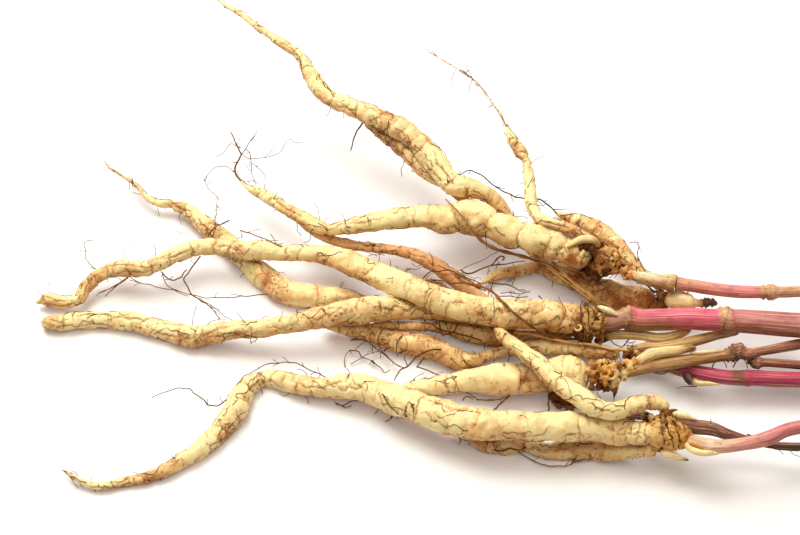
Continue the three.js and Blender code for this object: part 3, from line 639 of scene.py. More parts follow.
class SkinRelief:
    """Height of a root's skin over a plain tube in mm, and how creased, stained and darkened by painted
    shade each point is.
    """

    def __init__(self, name, stations, angles, radii, settings, seed):
        self.rng = np.random.default_rng(seed)
        self.seed, self.angles, self.stations = seed, angles, stations
        self.along = np.broadcast_to(stations[:, None], angles.shape)
        self.radius = np.broadcast_to(radii[:, None], angles.shape)
        self.straight = straightened(stations, radii, angles)
        self.deepest = settings.crease_depth / MM
        stain_and_shade, lumpy, spacing, _, crown_stain = ROOT_LOOKS[name]
        big = self.lumps(8, 1) + 0.8 * self.lumps(4, 2)
        self.height = settings.bulge * lumpy * self.radius * big
        self.height = self.height + 0.25 * self.lumps(2.2, 3) + 0.1 * self.lumps(0.9, 4)
        self.crooked = 0.5 * self.lumps(1.6, 8) + 0.25 * self.lumps(0.8, 9)
        self.crease = np.zeros(angles.shape)
        for pinch in PINCHES.get(name, ()):
            self.pinch(*pinch)
        for crack in CRACKS.get(name, ()):
            self.crack(*zip(*crack))
        self.cross_creases(spacing)
        self.long_creases(spacing=11)
        self.warts(spacing=4)
        to_crown = stations[-1] - self.along
        crown = np.clip(1 - to_crown / RINGED_NECK, 0, 1)
        rings = np.cos(2 * math.pi * self.along / RING_PITCH + 2.5 * self.lumps(5, 6))
        self.height += 0.05 * self.radius * crown * rings
        self.height *= np.clip(self.radius / 2, 0.12, 1)
        # Ends as thin as a thread have dried brown.
        self.crease = np.maximum(self.crease, 0.3 * np.clip((0.8 - self.radius) / 0.35, 0, 1))
        # Painted shade, with some soil: the stain is lighter on top, rises toward the lower side in
        # blotches, and is heaviest on the underside.
        below = -np.sin(angles)
        self.stain_and_shade = stain_and_shade + 0.16 * self.lumps(14, 5) + 0.14 * below
        self.stain_and_shade += crown_stain * np.clip(1 - to_crown / STAINED_NECK, 0, 1)
        self.stain_and_shade += np.clip(below - 0.05, 0, 0.6) * (0.25 + 0.5 * self.lumps(3, 7))
        self.stain_and_shade += 0.5 * np.clip((below - 0.65) / 0.25, 0, 1)
        for mark in MARKS.get(name, ()):
            self.mark(*mark)

    def lumps(self, size, salt):
        """Noise from -1 to 1 with lumps of a size in mm."""
        return smooth_noise(self.straight / size + 50, self.seed + salt)

    def rings_between(self, start, end):
        """The rings from start to end, in mm along the root."""
        return slice(*np.searchsorted(self.stations, (start, end)))

    def darken(self, near, shade):
        """Raises the crease of the rings to a shade, where it is less."""
        self.crease[near] = np.maximum(self.crease[near], shade)

    def groove(self, near, offset, share, depth, shade):
        """Cuts a groove where offset is 0 mm, with the soft shoulders that swollen flesh has."""
        offset = offset + self.crooked[near]
        sharp = bell(offset, CREASE_WIDTH) * share
        soft = np.exp(-np.abs(offset) / SHOULDER) * share
        self.height[near] -= depth * (0.3 * sharp + 0.6 * soft)
        # The crease is darkened: at its bottom as a dark crack, and over its shoulders as painted shade.
        self.darken(near, shade * np.maximum(sharp, 0.45 * soft))

    def pinch(self, place, reach, depth, shade, degrees=PINCH_DEGREES):
        """A ring where the root is drawn in between two swellings."""
        near = self.rings_between(place - PINCH_REACH, place + PINCH_REACH)
        turn = round_turn(self.angles[near] - math.radians(degrees))
        share = np.clip(1.4 - np.abs(turn) / math.radians(reach), 0, 1)
        offset = self.along[near] - place - 0.12 * np.sin(2.5 * turn + place) * self.radius[near]
        self.height[near] -= 0.5 * depth * share * bell(offset, PINCH_WIDTH)
        self.groove(near, offset, share, depth, shade)

    def crack(self, marks, degrees):
        """A long crack along the root through the given places."""
        near = self.rings_between(marks[0], marks[-1])
        path = np.interp(self.along[near], marks, np.radians(degrees))
        share = np.sqrt(np.sin(math.pi * (self.along[near] - marks[0]) / (marks[-1] - marks[0])).clip(0))
        offset = round_turn(self.angles[near] - path) * self.radius[near]
        self.groove(near, offset, share, 0.5 * self.deepest, 1.1)

    def cross_creases(self, spacing):
        """Creases that run part of the way round, about every spacing mm."""
        rng = self.rng
        place = spacing * rng.uniform(0.3, 1.2)
        while place < self.stations[-1]:
            near = self.rings_between(place - CREASE_REACH, place + CREASE_REACH)
            turn = round_turn(self.angles[near] - rng.uniform(-math.pi, math.pi))
            wave = rng.uniform(-0.3, 0.3) * turn + 0.12 * np.sin(3 * turn + rng.uniform(0, 6))
            share = np.clip(1.3 - np.abs(turn) / rng.uniform(0.5, 2.6), 0, 1)
            offset = self.along[near] - place - wave * self.radius[near]
            depth = self.deepest * rng.uniform(0.15, 1) ** 1.2
            self.groove(near, offset, share, depth, rng.uniform(0.2, 1.2))
            place += spacing * rng.gamma(2.2, 0.45)

    def long_creases(self, spacing):
        """Crooked creases along the root, one for every spacing mm of it."""
        rng = self.rng
        for _ in range(int(self.stations[-1] / spacing)):
            start, reach = rng.uniform(0, self.stations[-1]), rng.uniform(5, 26)
            near = self.rings_between(start, start + reach)
            run = self.along[near] - start
            path = rng.uniform(-math.pi, math.pi) + rng.uniform(-0.05, 0.05) * run
            path = path + 0.2 * np.sin(run / 2.3 + rng.uniform(0, 6))
            path = path + 0.12 * np.sin(run / 0.9 + rng.uniform(0, 6))
            share = np.sqrt(np.sin(math.pi * np.clip(run / reach, 0, 1)))
            offset = round_turn(self.angles[near] - path) * self.radius[near]
            depth = self.deepest * rng.uniform(0.3, 1)
            self.groove(near, offset, share, depth, rng.uniform(0.3, 1.25))

    def warts(self, spacing):
        """Small warts with a dark middle, one for every spacing mm of the root."""
        rng = self.rng
        for _ in range(int(self.stations[-1] / spacing)):
            spot, turn = rng.uniform(0, self.stations[-1]), rng.uniform(-math.pi, math.pi)
            near, away = self.away_from(spot, turn, rng.uniform(0.5, 1.2))
            self.height[near] += rng.uniform(0.1, 0.5) * bell(away, 1)
            self.darken(near, rng.uniform(0, 1.1) * bell(away, 0.45))

    def mark(self, spot, degrees, size, stain_and_shade, scar):
        """Stains one spot of the skin, with a small sunken scar in it."""
        near, away = self.away_from(spot, math.radians(degrees), size)
        away = away * (1 + 0.35 * self.lumps(1.5, 10)[near])
        self.stain_and_shade[near] += stain_and_shade * bell(away, 1)
        self.darken(near, scar * bell(away, 0.5))
        self.height[near] -= 0.3 * scar * np.clip(self.radius[near] / 2 - 0.5, 0, 1) * bell(away, 0.5)

    def away_from(self, spot, turn, size):
        """The rings near a spot, and how far their points are from it, in sizes."""
        near = self.rings_between(spot - 3 * size, spot + 3 * size)
        turn = round_turn(self.angles[near] - turn)
        return near, np.hypot(self.along[near] - spot, turn * self.radius[near]) / size


def dress_root(name, material, slot, settings, seed):
    """Replaces one swept root by a detailed skin."""
    middles, radii = read_spine(name)
    mark, *shift = zip(*SHIFTS.get(name, [(0, 0.0, 0.0, 0.0)]))
    reach = np.append(0, np.linalg.norm(np.diff(middles, axis=0), axis=1).cumsum())
    middles = middles + np.column_stack([np.interp(reach, mark, band) for band in shift])
    line, radii, stations = smooth_line(middles, radii * ROOT_LOOKS[name][3], settings.ring_step / MM)
    radii = rounded_ends(swollen(name, radii, stations), stations)
    sides = sides_for(radii, ROOT_SIDES)
    skin, outward, angles = tube_and_angles(name + "_skin", line, radii, sides)
    relief = SkinRelief(name, stations, angles, radii, settings, seed)
    raise_surface(skin, line, outward, radii, relief.height)
    store_along(skin, stations + 60 * seed, radii, angles)
    place, weathered, shade = zip(*WEATHERED.get(name, [(0, 0.0, 0.0)]))
    # The least shade darkens the creases evenly toward the crown end: painted shade.
    least = np.interp(stations, place, shade)[:, None]
    store(skin, "crease", np.maximum(relief.crease, least).ravel())
    store(skin, "stain_and_shade", relief.stain_and_shade.ravel())
    store(skin, "weathered", np.repeat(np.interp(stations, place, weathered), sides))
    finish_piece(skin, material, slot, name)


class SKIRRET_OT_storage_roots(bpy.types.Operator):
    """Covers every storage root with creased, cracked skin"""
    bl_idname = "skirret.storage_roots"
    bl_label = "Storage Roots"

    def execute(self, context):
        settings = context.scene.skirret_roots
        skin = root_skin_material(settings)
        for seed, name in enumerate(ROOT_LOOKS, start=1):
            slot = "brown_root_skin" if name in BROWN_ROOTS else "root_skin"
            dress_root(name, skin, slot, settings, seed)
        return {"FINISHED"}


# ---------------------------------------------------------------- stems, stalks and buds

# Each organ's colours: mm from its base, colour of its upper side, colour of its lower side.
# Most pairs are a lit and a shaded copy of one colour, which paints light and shade; some also change
# hue.
STEM_COLOURS = {
    "stem_upper": [
        (0, "#C98E6D", "#B9805E"), (4, "#E4A280", "#CC896B"), (14, "#EC9A8F", "#D88576"),
        (30, "#EE8F91", "#D87975"), (34, "#D8AA75", "#A06D42"), (38, "#DDAE84", "#C99573"),
        (60, "#D6A282", "#B9876B"),
    ],
    "stem_middle": [
        (0, "#C79A78", "#8F5F40"), (9, "#CF9A80", "#A06A50"), (12, "#C69C6C", "#A07046"),
        (15, "#DC6A78", "#9C7444"), (27, "#DE6076", "#9A6E44"), (33, "#EA6C84", "#DC6A70"),
        (46, "#EA6A84", "#D8646E"), (49, "#D8B87A", "#A07A42"), (52, "#CC8078", "#AC6E50"),
        (64, "#C67A74", "#A86C50"), (82, "#BE736C", "#9E644E"),
    ],
    "stem_magenta": [
        (0, "#5E3A21", "#40240E"), (12, "#A87842", "#7A5025"), (16, "#B8864A", "#8A5C2C"),
        (17.5, "#7A302C", "#4E1E16"), (19, "#D0506E", "#A83A55"), (36.5, "#CC4C67", "#A63A51"),
        (38.5, "#8A5230", "#7A462C"), (41.5, "#8A5030", "#7A462C"), (43.5, "#C84863", "#A2344B"),
        (66, "#BE4258", "#962E42"),
    ],
    "stem_lower_front": [
        (0, "#DDB280", "#C99661"), (6, "#E6BA91", "#D8A277"), (16, "#EFCDA9", "#E2B291"),
        (28, "#E8A591", "#D8897B"), (40, "#D88280", "#C06768"), (54, "#D27977", "#B45F63"),
    ],
    "stem_brown": [
        (0, "#D2A468", "#A0763E"), (20, "#C89858", "#946630"), (38, "#B07C48", "#7A4E26"),
        (42, "#7A5230", "#48290F"), (47, "#B4785A", "#8A5440"), (73, "#A86A52", "#80493C"),
    ],
    "stem_brown_branch": [
        (0, "#8A6238", "#5C3A1E"), (4, "#A87C52", "#6E4A2C"), (8, "#A8684A", "#7E4834"),
        (26, "#A3644C", "#7A4436"),
    ],
    "stem_lower_back": [
        (0, "#7A5038", "#54301C"), (10, "#8E5E4A", "#684032"), (30, "#8A5A48", "#643A2E"),
        (53, "#5E4028", "#3E2814"),
    ],
    "cut_stub": [
        (0, "#B88880", "#8C5C56"), (9, "#A8706A", "#7E4C48"), (10, "#E8CC9C", "#C09C6C"),
        (11, "#6A4028", "#4A2A18"), (13, "#5A3420", "#3E2412"),
    ],
    "brown_scale": [(0, "#7A4630", "#4A2818"), (9, "#8A5638", "#5A3420")],
    "stalk_pale": [
        (0, "#FFE3A4", "#E4BA73"), (10, "#FFEBAE", "#ECC881"), (18, "#F8D88F", "#D0A35A"),
        (23, "#9A6831", "#5E3918"),
    ],
    "stalk_strip": [(0, "#F0D8A0", "#D0A868"), (12, "#F8E6B6", "#D8B478")],
    "stalk_straw": [
        (0, "#D0A468", "#A0743C"), (14, "#E2BC7C", "#B08448"), (30, "#DDB070", "#AA7C44"),
        (43, "#E6C488", "#A87E48"),
    ],
    "stalk_under": [
        (0, "#5C391C", "#3C230E"), (5, "#6A4521", "#4A2D13"), (7, "#F8DD99", "#E8C881"),
        (20, "#FFEDAE", "#FADD99"), (32, "#FFE7A4", "#F0CC86"), (39, "#D8AB65", "#A87D46"),
    ],
    "stem_right_shoot": [
        (0, "#FFF0C0", "#F4D89C"), (1.5, "#8E6A3C", "#6A4A24"), (2.2, "#FFF4CC", "#F8E0AC"),
        (6.5, "#FFF0C0", "#F4D8A0"), (8.2, "#E8C48A", "#C09458"), (9.4, "#7A5330", "#52341A"),
        (15.5, "#6A4626", "#42280F"),
    ],
    "upper_internode": [
        (0, "#C88E52", "#9A6830"), (4, "#F0D498", "#C89A5C"), (7, "#FFF0C4", "#D8AC6C"),
        (14, "#FFECBC", "#CCA062"), (16.5, "#F4DCA4", "#C09050"), (19, "#D8AC70", "#A87C44"),
    ],
    "right_knob": [(0, "#FFE7A0", "#F4D084"), (6, "#FFEDB1", "#F8DA96")],
    "cream_lobe": [
        (0, "#D8A75C", "#A87638"), (3, "#F8DD96", "#D8B068"), (9, "#FFE9AB", "#E4C07A"),
        (11, "#E0B873", "#A87A3F"), (13, "#B88146", "#7A4E23"),
    ],
    "white_curl": [(0, "#B58B4D", "#8E6631"), (2, "#DCBC7A", "#B89150"), (6, "#F0D899", "#D0AC6C")],
    "stub_knob": [(0, "#C89D61", "#9A6E38"), (3, "#F6DFA0", "#D8B06F")],
    "bud_middle": [(0, "#E8CC8B", "#D0A965"), (3, "#FFEFBC", "#F4DCA0"), (11, "#FFF1C3", "#F8E3AB")],
    "bud_lower_back": [(0, "#E8C87D", "#C8A15A"), (2, "#FFF1B8", "#FAE3A0"), (9, "#FFEBAB", "#F4D88F")],
    "bud_lower_front": [
        (0, "#F0D48F", "#D8B06C"), (2, "#FFF3C3", "#FAE3A7"), (8, "#FFEBAE", "#F0D08B"),
        (10, "#8A6231", "#5E3F1C"),
    ],
    "sheath_right": [
        (0, "#9A6834", "#6E4721"), (2, "#4A2315", "#30160C"), (5, "#542F1A", "#3A1F10"),
        (6.5, "#F2DA9D", "#CEAC6F"), (16, "#FFEBB5", "#E0C084"),
    ],
    "sheath_lower": [(0, "#E8C476", "#C89D54"), (3, "#FFEFB1", "#FAE39D"), (15, "#FFEDAB", "#F6DC92")],
    "sheath_patch": [(0, "#C8803C", "#A0602C"), (5, "#D8A058", "#B87C3C"), (8, "#E8C080", "#C89858")],
}
STEM_NODES = {
    "stem_upper": [34.5], "stem_middle": [12.2, 48.9], "stem_brown": [40, 43.5],
    "stem_brown_branch": [2.6, 6], "stem_right_shoot": [9.8, 12.6],
}
# Small parts drawn here: mm of each place and its radius.
SMALL_PARTS = {
    "upper_internode": [
        (80.5, -27, 17.5, 1.5), (83, -28.5, 18, 2), (86, -29.5, 18, 2.5), (90, -30.3, 18, 2.9),
        (95, -31.3, 18, 3.2), (96.5, -31.8, 18, 3.7), (98, -32.2, 18, 3.5),
    ],
    "stem_right_shoot": [
        (99.5, -36.2, 12.2, 2.0), (101, -36.5, 12.4, 2.4), (103.5, -36.9, 12.4, 2.3),
        (106, -37.1, 12.2, 1.8), (108.2, -37.1, 12, 1.3), (109.2, -36.9, 12, 1.5),
        (111.5, -36.6, 11.9, 1.4), (113.5, -36.8, 11.7, 1.2), (114.8, -37.1, 11.5, 0.4),
    ],
    "right_knob": [
        (95, -33.6, 9.8, 2.3), (97.2, -35, 11.2, 3.2), (100, -36, 12.2, 3.7), (103, -36.9, 12.5, 3.4),
        (106, -37.5, 12.3, 2.2),
    ],
    "cream_lobe": [
        (56, -21.8, 27.3, 0.5), (58.5, -20.3, 28.4, 1.3), (61.5, -19, 29, 1.7), (64.5, -18.8, 29, 1.8),
        (67, -19.8, 28.4, 1.6), (68.3, -22, 27.6, 0.8),
    ],
    "white_curl": [
        (57.5, -53.5, 20.5, 0.3), (58.3, -55.2, 20.5, 0.45), (59.5, -55.2, 20.7, 0.5),
        (60.2, -54, 21, 0.45), (59.5, -53.2, 21.2, 0.35), (58.8, -53.6, 21.2, 0.2),
    ],
    "bud_middle": [
        (66.5, -45.5, 22.3, 0.4), (68, -46.3, 22.5, 1.1), (70.5, -47.3, 22.3, 1.3),
        (73, -48.3, 21.8, 0.9), (74.5, -49.2, 21.3, 0.3),
    ],
    "bud_lower_back": [
        (91.5, -91.6, 20.6, 0.6), (93.5, -92, 20.6, 1.4), (96, -92.3, 20.4, 1.5), (98, -93, 20.2, 0.9),
        (100.5, -93.8, 20, 0.3),
    ],
    "bud_lower_front": [
        (87, -103.3, 13, 0.7), (89.5, -104.3, 13, 1.6), (92.5, -105, 12.6, 1.5),
        (95, -105.8, 12.2, 0.8), (97.5, -106.3, 12, 0.3),
    ],
    "sheath_right": [
        (99.5, -67, 10, 1.3), (100.5, -69, 10, 1.9), (101.5, -71, 10, 1.8), (104, -72, 10, 1.2),
        (108.5, -72, 9.5, 0.9), (113, -72, 9, 0.3),
    ],
    "sheath_lower": [
        (95.5, -103.3, 19.5, 0.8), (96.5, -105, 19, 1.1), (99.5, -106.5, 18.5, 1.3),
        (104, -106.8, 18, 1.1), (109, -106.3, 18, 0.4),
    ],
    "sheath_patch": [(96.5, -103.3, 19.2, 0.7), (99.5, -104, 18.6, 1.1), (103, -105, 18.2, 0.7)],
    "stalk_under": [
        (66.5, -51.5, 7, 0.8), (68.5, -51.5, 8.5, 1.7), (72, -51, 10.5, 1.9), (77.5, -51.5, 12, 1.9),
        (84.5, -52, 12, 1.9), (90.5, -53, 12, 2), (96.5, -52, 12, 1.8), (101.5, -50, 12, 1.3),
        (103.5, -48.5, 12, 0.5),
    ],
    "stalk_pale": [
        (80, -65.5, 13.5, 1.2), (82.5, -65, 15, 2), (86, -63.5, 16.5, 2.3), (90.5, -63, 17.5, 2.1),
        (96.5, -62.5, 18, 1.8), (101, -61.5, 18, 1.5), (103.5, -61.5, 18, 0.8),
    ],
    "stalk_strip": [
        (101, -63, 17, 0.6), (105, -63, 17, 1), (109, -62.5, 17, 0.8), (113.5, -62, 17, 0.4),
    ],
    "brown_scale": [(85.5, -67, 12, 0.4), (88, -68, 12, 0.9), (91, -68.5, 12, 0.9), (94, -67, 12, 0.4)],
    "stub_knob": [(83, -91.5, 17, 0.9), (84, -91.5, 17.5, 1.7), (85.5, -91.5, 17.5, 1.3)],
}
STEM_GROUPS = {
    "stem_pink": ["stem_upper", "stem_middle", "stem_magenta", "stem_lower_front"],
    "stem_brown": ["stem_brown", "stem_brown_branch", "stem_lower_back", "cut_stub", "brown_scale"],
    "straw_stalk": ["stalk_pale", "stalk_straw", "stalk_under", "stalk_strip", "upper_internode"],
    "bud_cream": [
        "stem_right_shoot", "bud_middle", "bud_lower_back", "bud_lower_front", "sheath_right",
        "sheath_lower", "sheath_patch", "right_knob", "cream_lobe", "white_curl", "stub_knob",
    ],
}
CUT_ENDS = ("upper_internode", "stem_upper", "stem_middle", "stem_magenta", "stem_lower_front",
            "stem_brown", "stem_brown_branch", "stem_lower_back")
PAINTED_LIGHT_SIDE = math.radians(35)   # the side of a stem, from level, where the painted light is brightest
STEM_GIRTH = 0.985           # a stem's radius under its ribs, as a share of the frame's
STEM_STEP = 0.4              # mm from one ring of a stem to the next
HIDDEN_BASE = 2.0            # mm that a cut stem runs on into its crown


def stem_material(name, streak, gloss):
    """Stem skin: a thin, slightly waxy rind over long fibres, which show as fine streaks and ribs."""
    material, tree, output = new_material(name)
    along = add_node(tree, "Attribute", {"attribute_name": "along"}).outputs["Vector"]
    tint = add_node(tree, "Attribute", {"attribute_name": "tint"}).outputs["Color"]

    # Fibres 0.35 mm wide and 30 mm long.
    drawn = add_node(tree, "Mapping", None, {"Vector": along, "Scale": (
        1 / (30 * MM), 1 / (0.35 * MM), 1 / (0.35 * MM))}).outputs["Vector"]
    fibre = add_node(tree, "TexNoise", None, {
        "Vector": drawn, "Scale": 1.0, "Detail": 2.0, "Roughness": 0.5}).outputs["Fac"]
    dark_streak, pale_streak = (
        add_node(tree, "MapRange", {"interpolation_type": "SMOOTHSTEP"}, {
            "Value": fibre, "From Min": low, "From Max": high, "To Min": 0.0, "To Max": streak
            }).outputs["Result"]
        for low, high in ((0.5, 0.32), (0.56, 0.7)))
    streaked = add_node(tree, "Mix", {"data_type": "RGBA", "blend_type": "MULTIPLY"}, {
        0: dark_streak, 6: tint, 7: (*linear("#8A5C38"), 1)}).outputs[2]
    paled = add_node(tree, "Mix", {"data_type": "RGBA"}, {
        0: pale_streak, 6: streaked, 7: (*linear("#EBCBB0"), 1)}).outputs[2]

    # Specks and scuffs of 0.4 mm.
    cells = add_node(tree, "TexVoronoi", None, {"Vector": along, "Scale": 1 / (1.8 * MM)})
    near = add_node(tree, "MapRange", {"interpolation_type": "SMOOTHSTEP"}, {
        "Value": cells.outputs["Distance"], "From Min": 0.07, "From Max": 0.2, "To Min": 0.85,
        "To Max": 0.0}).outputs["Result"]
    chosen = add_node(tree, "Math", {"operation": "GREATER_THAN"}, {
        0: cells.outputs["Color"], 1: 0.62}).outputs[0]
    speck = add_node(tree, "Math", {"operation": "MULTIPLY"}, {0: near, 1: chosen}).outputs[0]
    rind = add_node(tree, "Mix", {"data_type": "RGBA"}, {
        0: speck, 6: paled, 7: (*linear("#54341F"), 1)}).outputs[2]
    bump = add_node(tree, "Bump", None, {
        "Height": fibre, "Strength": 0.6, "Distance": 0.15 * MM}).outputs["Normal"]
    shader = add_node(tree, "BsdfPrincipled", None, {
        "Base Color": rind, "Normal": bump, "Roughness": gloss, "Specular IOR Level": 0.35
        }).outputs["BSDF"]
    tree.links.new(shader, output.inputs["Surface"])
    return material


def noise_round(along, angles, size, turns, shift, seed):
    """Smooth noise on a tube: mm of its lumps along, and steps of its lattice from middle to skin."""
    across = np.cos(angles) * turns + shift
    return smooth_noise(np.stack([along / size, across, np.sin(angles) * turns + shift], -1), seed)


def stem_tint(stations, angles, stops, seed):
    """Colour at each point of a stem, from its stops along and its two sides, with painted light on the
    lit side and painted shade round toward the other.
    """
    marks = [mark for mark, _, _ in stops]
    both = [np.column_stack([np.interp(stations, marks, [linear(stop[side])[band] for stop in stops])
                             for band in range(3)]) for side in (1, 2)]
    along = np.broadcast_to(stations[:, None], angles.shape)
    uneven = noise_round(along, angles, 11, 1.5, 5, seed)
    # Painted light and shade: the upper colour faces the lit side and the lower colour the far side.
    share = np.clip(0.5 + 0.75 * (np.cos(angles - PAINTED_LIGHT_SIDE) + 0.35 * uneven), 0, 1)[:, :, None]
    mixed = both[0][:, None] * share + both[1][:, None] * (1 - share)
    blotch = noise_round(along, angles, 2.6, 2, 5, seed + 50)
    mixed = mixed * (1 - 0.3 * np.clip(blotch, 0, 1))[:, :, None] ** (1.0, 1.3, 1.2)
    return np.concatenate([mixed, np.ones((*angles.shape, 1))], axis=2)


def stem_relief(stations, angles, radii, nodes, seed):
    """Height of a stem's ribs and nodes over a plain tube, in mm."""
    along = np.broadcast_to(stations[:, None], angles.shape)
    radius = np.broadcast_to(radii[:, None], angles.shape)
    ribs = max(6, int(2 * math.pi * radii.max() / 1.3))
    uneven = noise_round(along, angles, 9, 2, 7, seed)
    height = 0.028 * radius * np.cos(ribs * angles + 0.02 * along + 1.5 * uneven) + 0.03 * radius * uneven
    for node in nodes:
        offset = along - node - 0.25 * uneven
        height += 0.75 * bell(offset - 0.8, 0.5) + 0.6 * bell(offset + 0.8, 0.5)
        height -= 0.2 * bell(offset, 0.3)
        height += 0.25 * noise_round(along, angles, 1.2, radius / 1.4, 9, seed + 1) * bell(offset, 1.6)
    return height


def cut_end(stem, pith):
    """Sinks the pith a little in the plain cut at the stem's +X end."""
    far = max(stem.data.polygons, key=lambda face: (len(face.vertices) > 4, face.center.x)).index
    stem.data.materials.append(pith)
    select_only(stem)
    bpy.ops.object.mode_set(mode="EDIT")
    bpy.ops.mesh.select_mode(type="FACE")
    bpy.ops.mesh.select_all(action="DESELECT")
    bpy.ops.object.mode_set(mode="OBJECT")
    stem.data.polygons[far].select = True
    bpy.ops.object.mode_set(mode="EDIT")
    bpy.ops.mesh.inset(thickness=0.35 * MM)
    stem.active_material_index = 1
    bpy.ops.object.material_slot_assign()
    bpy.ops.mesh.inset(thickness=0.3 * MM, depth=-0.25 * MM)
    bpy.ops.object.mode_set(mode="OBJECT")


def dress_stem(name, material, slot, pith, seed):
    """Replaces one swept stem, stalk or bud by a ribbed, coloured rind."""
    drawn = np.array(SMALL_PARTS.get(name, ()))
    middles, radii = (drawn[:, :3], drawn[:, 3]) if drawn.size else read_spine(name)
    if name in CUT_ENDS:
        middles[0] -= HIDDEN_BASE * unit(middles[1] - middles[0])
    line, radii, stations = smooth_line(middles, radii * STEM_GIRTH, STEM_STEP)
    radii = swollen(name, radii, stations)
    if name not in CUT_ENDS:
        radii = rounded_ends(radii, stations)
    rind, outward, angles = tube_and_angles(name + "_rind", line, radii, sides_for(radii, STEM_SIDES))
    height = stem_relief(stations, angles, radii, STEM_NODES.get(name, ()), seed)
    raise_surface(rind, line, outward, radii, height)
    store_along(rind, stations + 90 * seed, radii, angles)
    store(rind, "tint", stem_tint(stations, angles, STEM_COLOURS[name], seed).reshape(-1, 4))
    finish_piece(rind, material, slot, *(node for node in [name] if node in frame["nodes"]))
    if name in CUT_ENDS:
        cut_end(rind, pith)


def pith_material():
    """Cut pith: pale, dry and slightly spongy, with no sheen."""
    material, tree, output = new_material("dry_stem_pith")
    place = add_node(tree, "TexCoord").outputs["Object"]
    pores = add_node(tree, "TexNoise", None, {
        "Vector": place, "Scale": 1 / (0.4 * MM)}).outputs["Fac"]
    shade = add_node(tree, "ValToRGB", None, {"Fac": pores}, [
        (0.3, linear("#B79E74")), (0.7, linear("#E6D6B0"))]).outputs["Color"]
    shader = add_node(tree, "BsdfPrincipled", None, {
        "Base Color": shade, "Roughness": 0.85}).outputs[0]
    tree.links.new(shader, output.inputs["Surface"])
    return material


class SKIRRET_OT_stems(bpy.types.Operator):
    """Covers the stems, dry stalks, buds and sheaths with their rinds"""
    bl_idname = "skirret.stems"
    bl_label = "Stems and Buds"

    def execute(self, context):
        pith = pith_material()
        finishes = {
            "stem_pink": stem_material("fresh_pink_stem_rind", 0.5, 0.42),
            "stem_brown": stem_material("ripe_brown_stem_rind", 0.65, 0.55),
            "straw_stalk": stem_material("dry_straw_stalk", 0.7, 0.7),
            "bud_cream": stem_material("cream_bud_scale", 0.2, 0.5),
        }
        seed = 100
        for slot, names in STEM_GROUPS.items():
            for name in names:
                dress_stem(name, finishes[slot], slot, pith, seed)
                seed += 1
        return {"FINISHED"}


# ---------------------------------------------------------------- rootstock

# Dark brown of the bark away from the knobs: painted shade, so that the arms between the crowns read as
# shadow.
SHADED_ARM_BARK = "#5A3A20"
# Crowns of the rootstock: mm of the middle, and mm of the radius.
CROWNS = [
    (71.1, -22.7, 20.8, 6.3), (94.6, -33.2, 9, 4), (65.4, -48.2, 16.4, 6.3), (59.4, -45.3, 9.2, 5.3),
    (79.6, -58.7, 9.2, 4), (70.6, -68.9, 12, 5.8), (90.1, -96.2, 16, 6.4),
]
# Bark tones, from nearly black to pale cork. Given knob by knob, they hold painted shade and painted
# highlight as well as the bark's own colour.
BARK_TONES = (
    "#3E200C", "#4A280E", "#5A3414", "#6A401C", "#7E5026", "#8E6030", "#8A6440", "#A06C34", "#A87440",
    "#B47E44", "#C48C4E", "#D29048", "#C8985C", "#D8A05A", "#D8A464", "#E8A85E", "#DCAE70", "#EFB86C",
    "#E6BE7E", "#FABC70", "#F6C67C", "#FCD08A", "#F4D89C", "#FFDA96", "#FFEAAC",
)
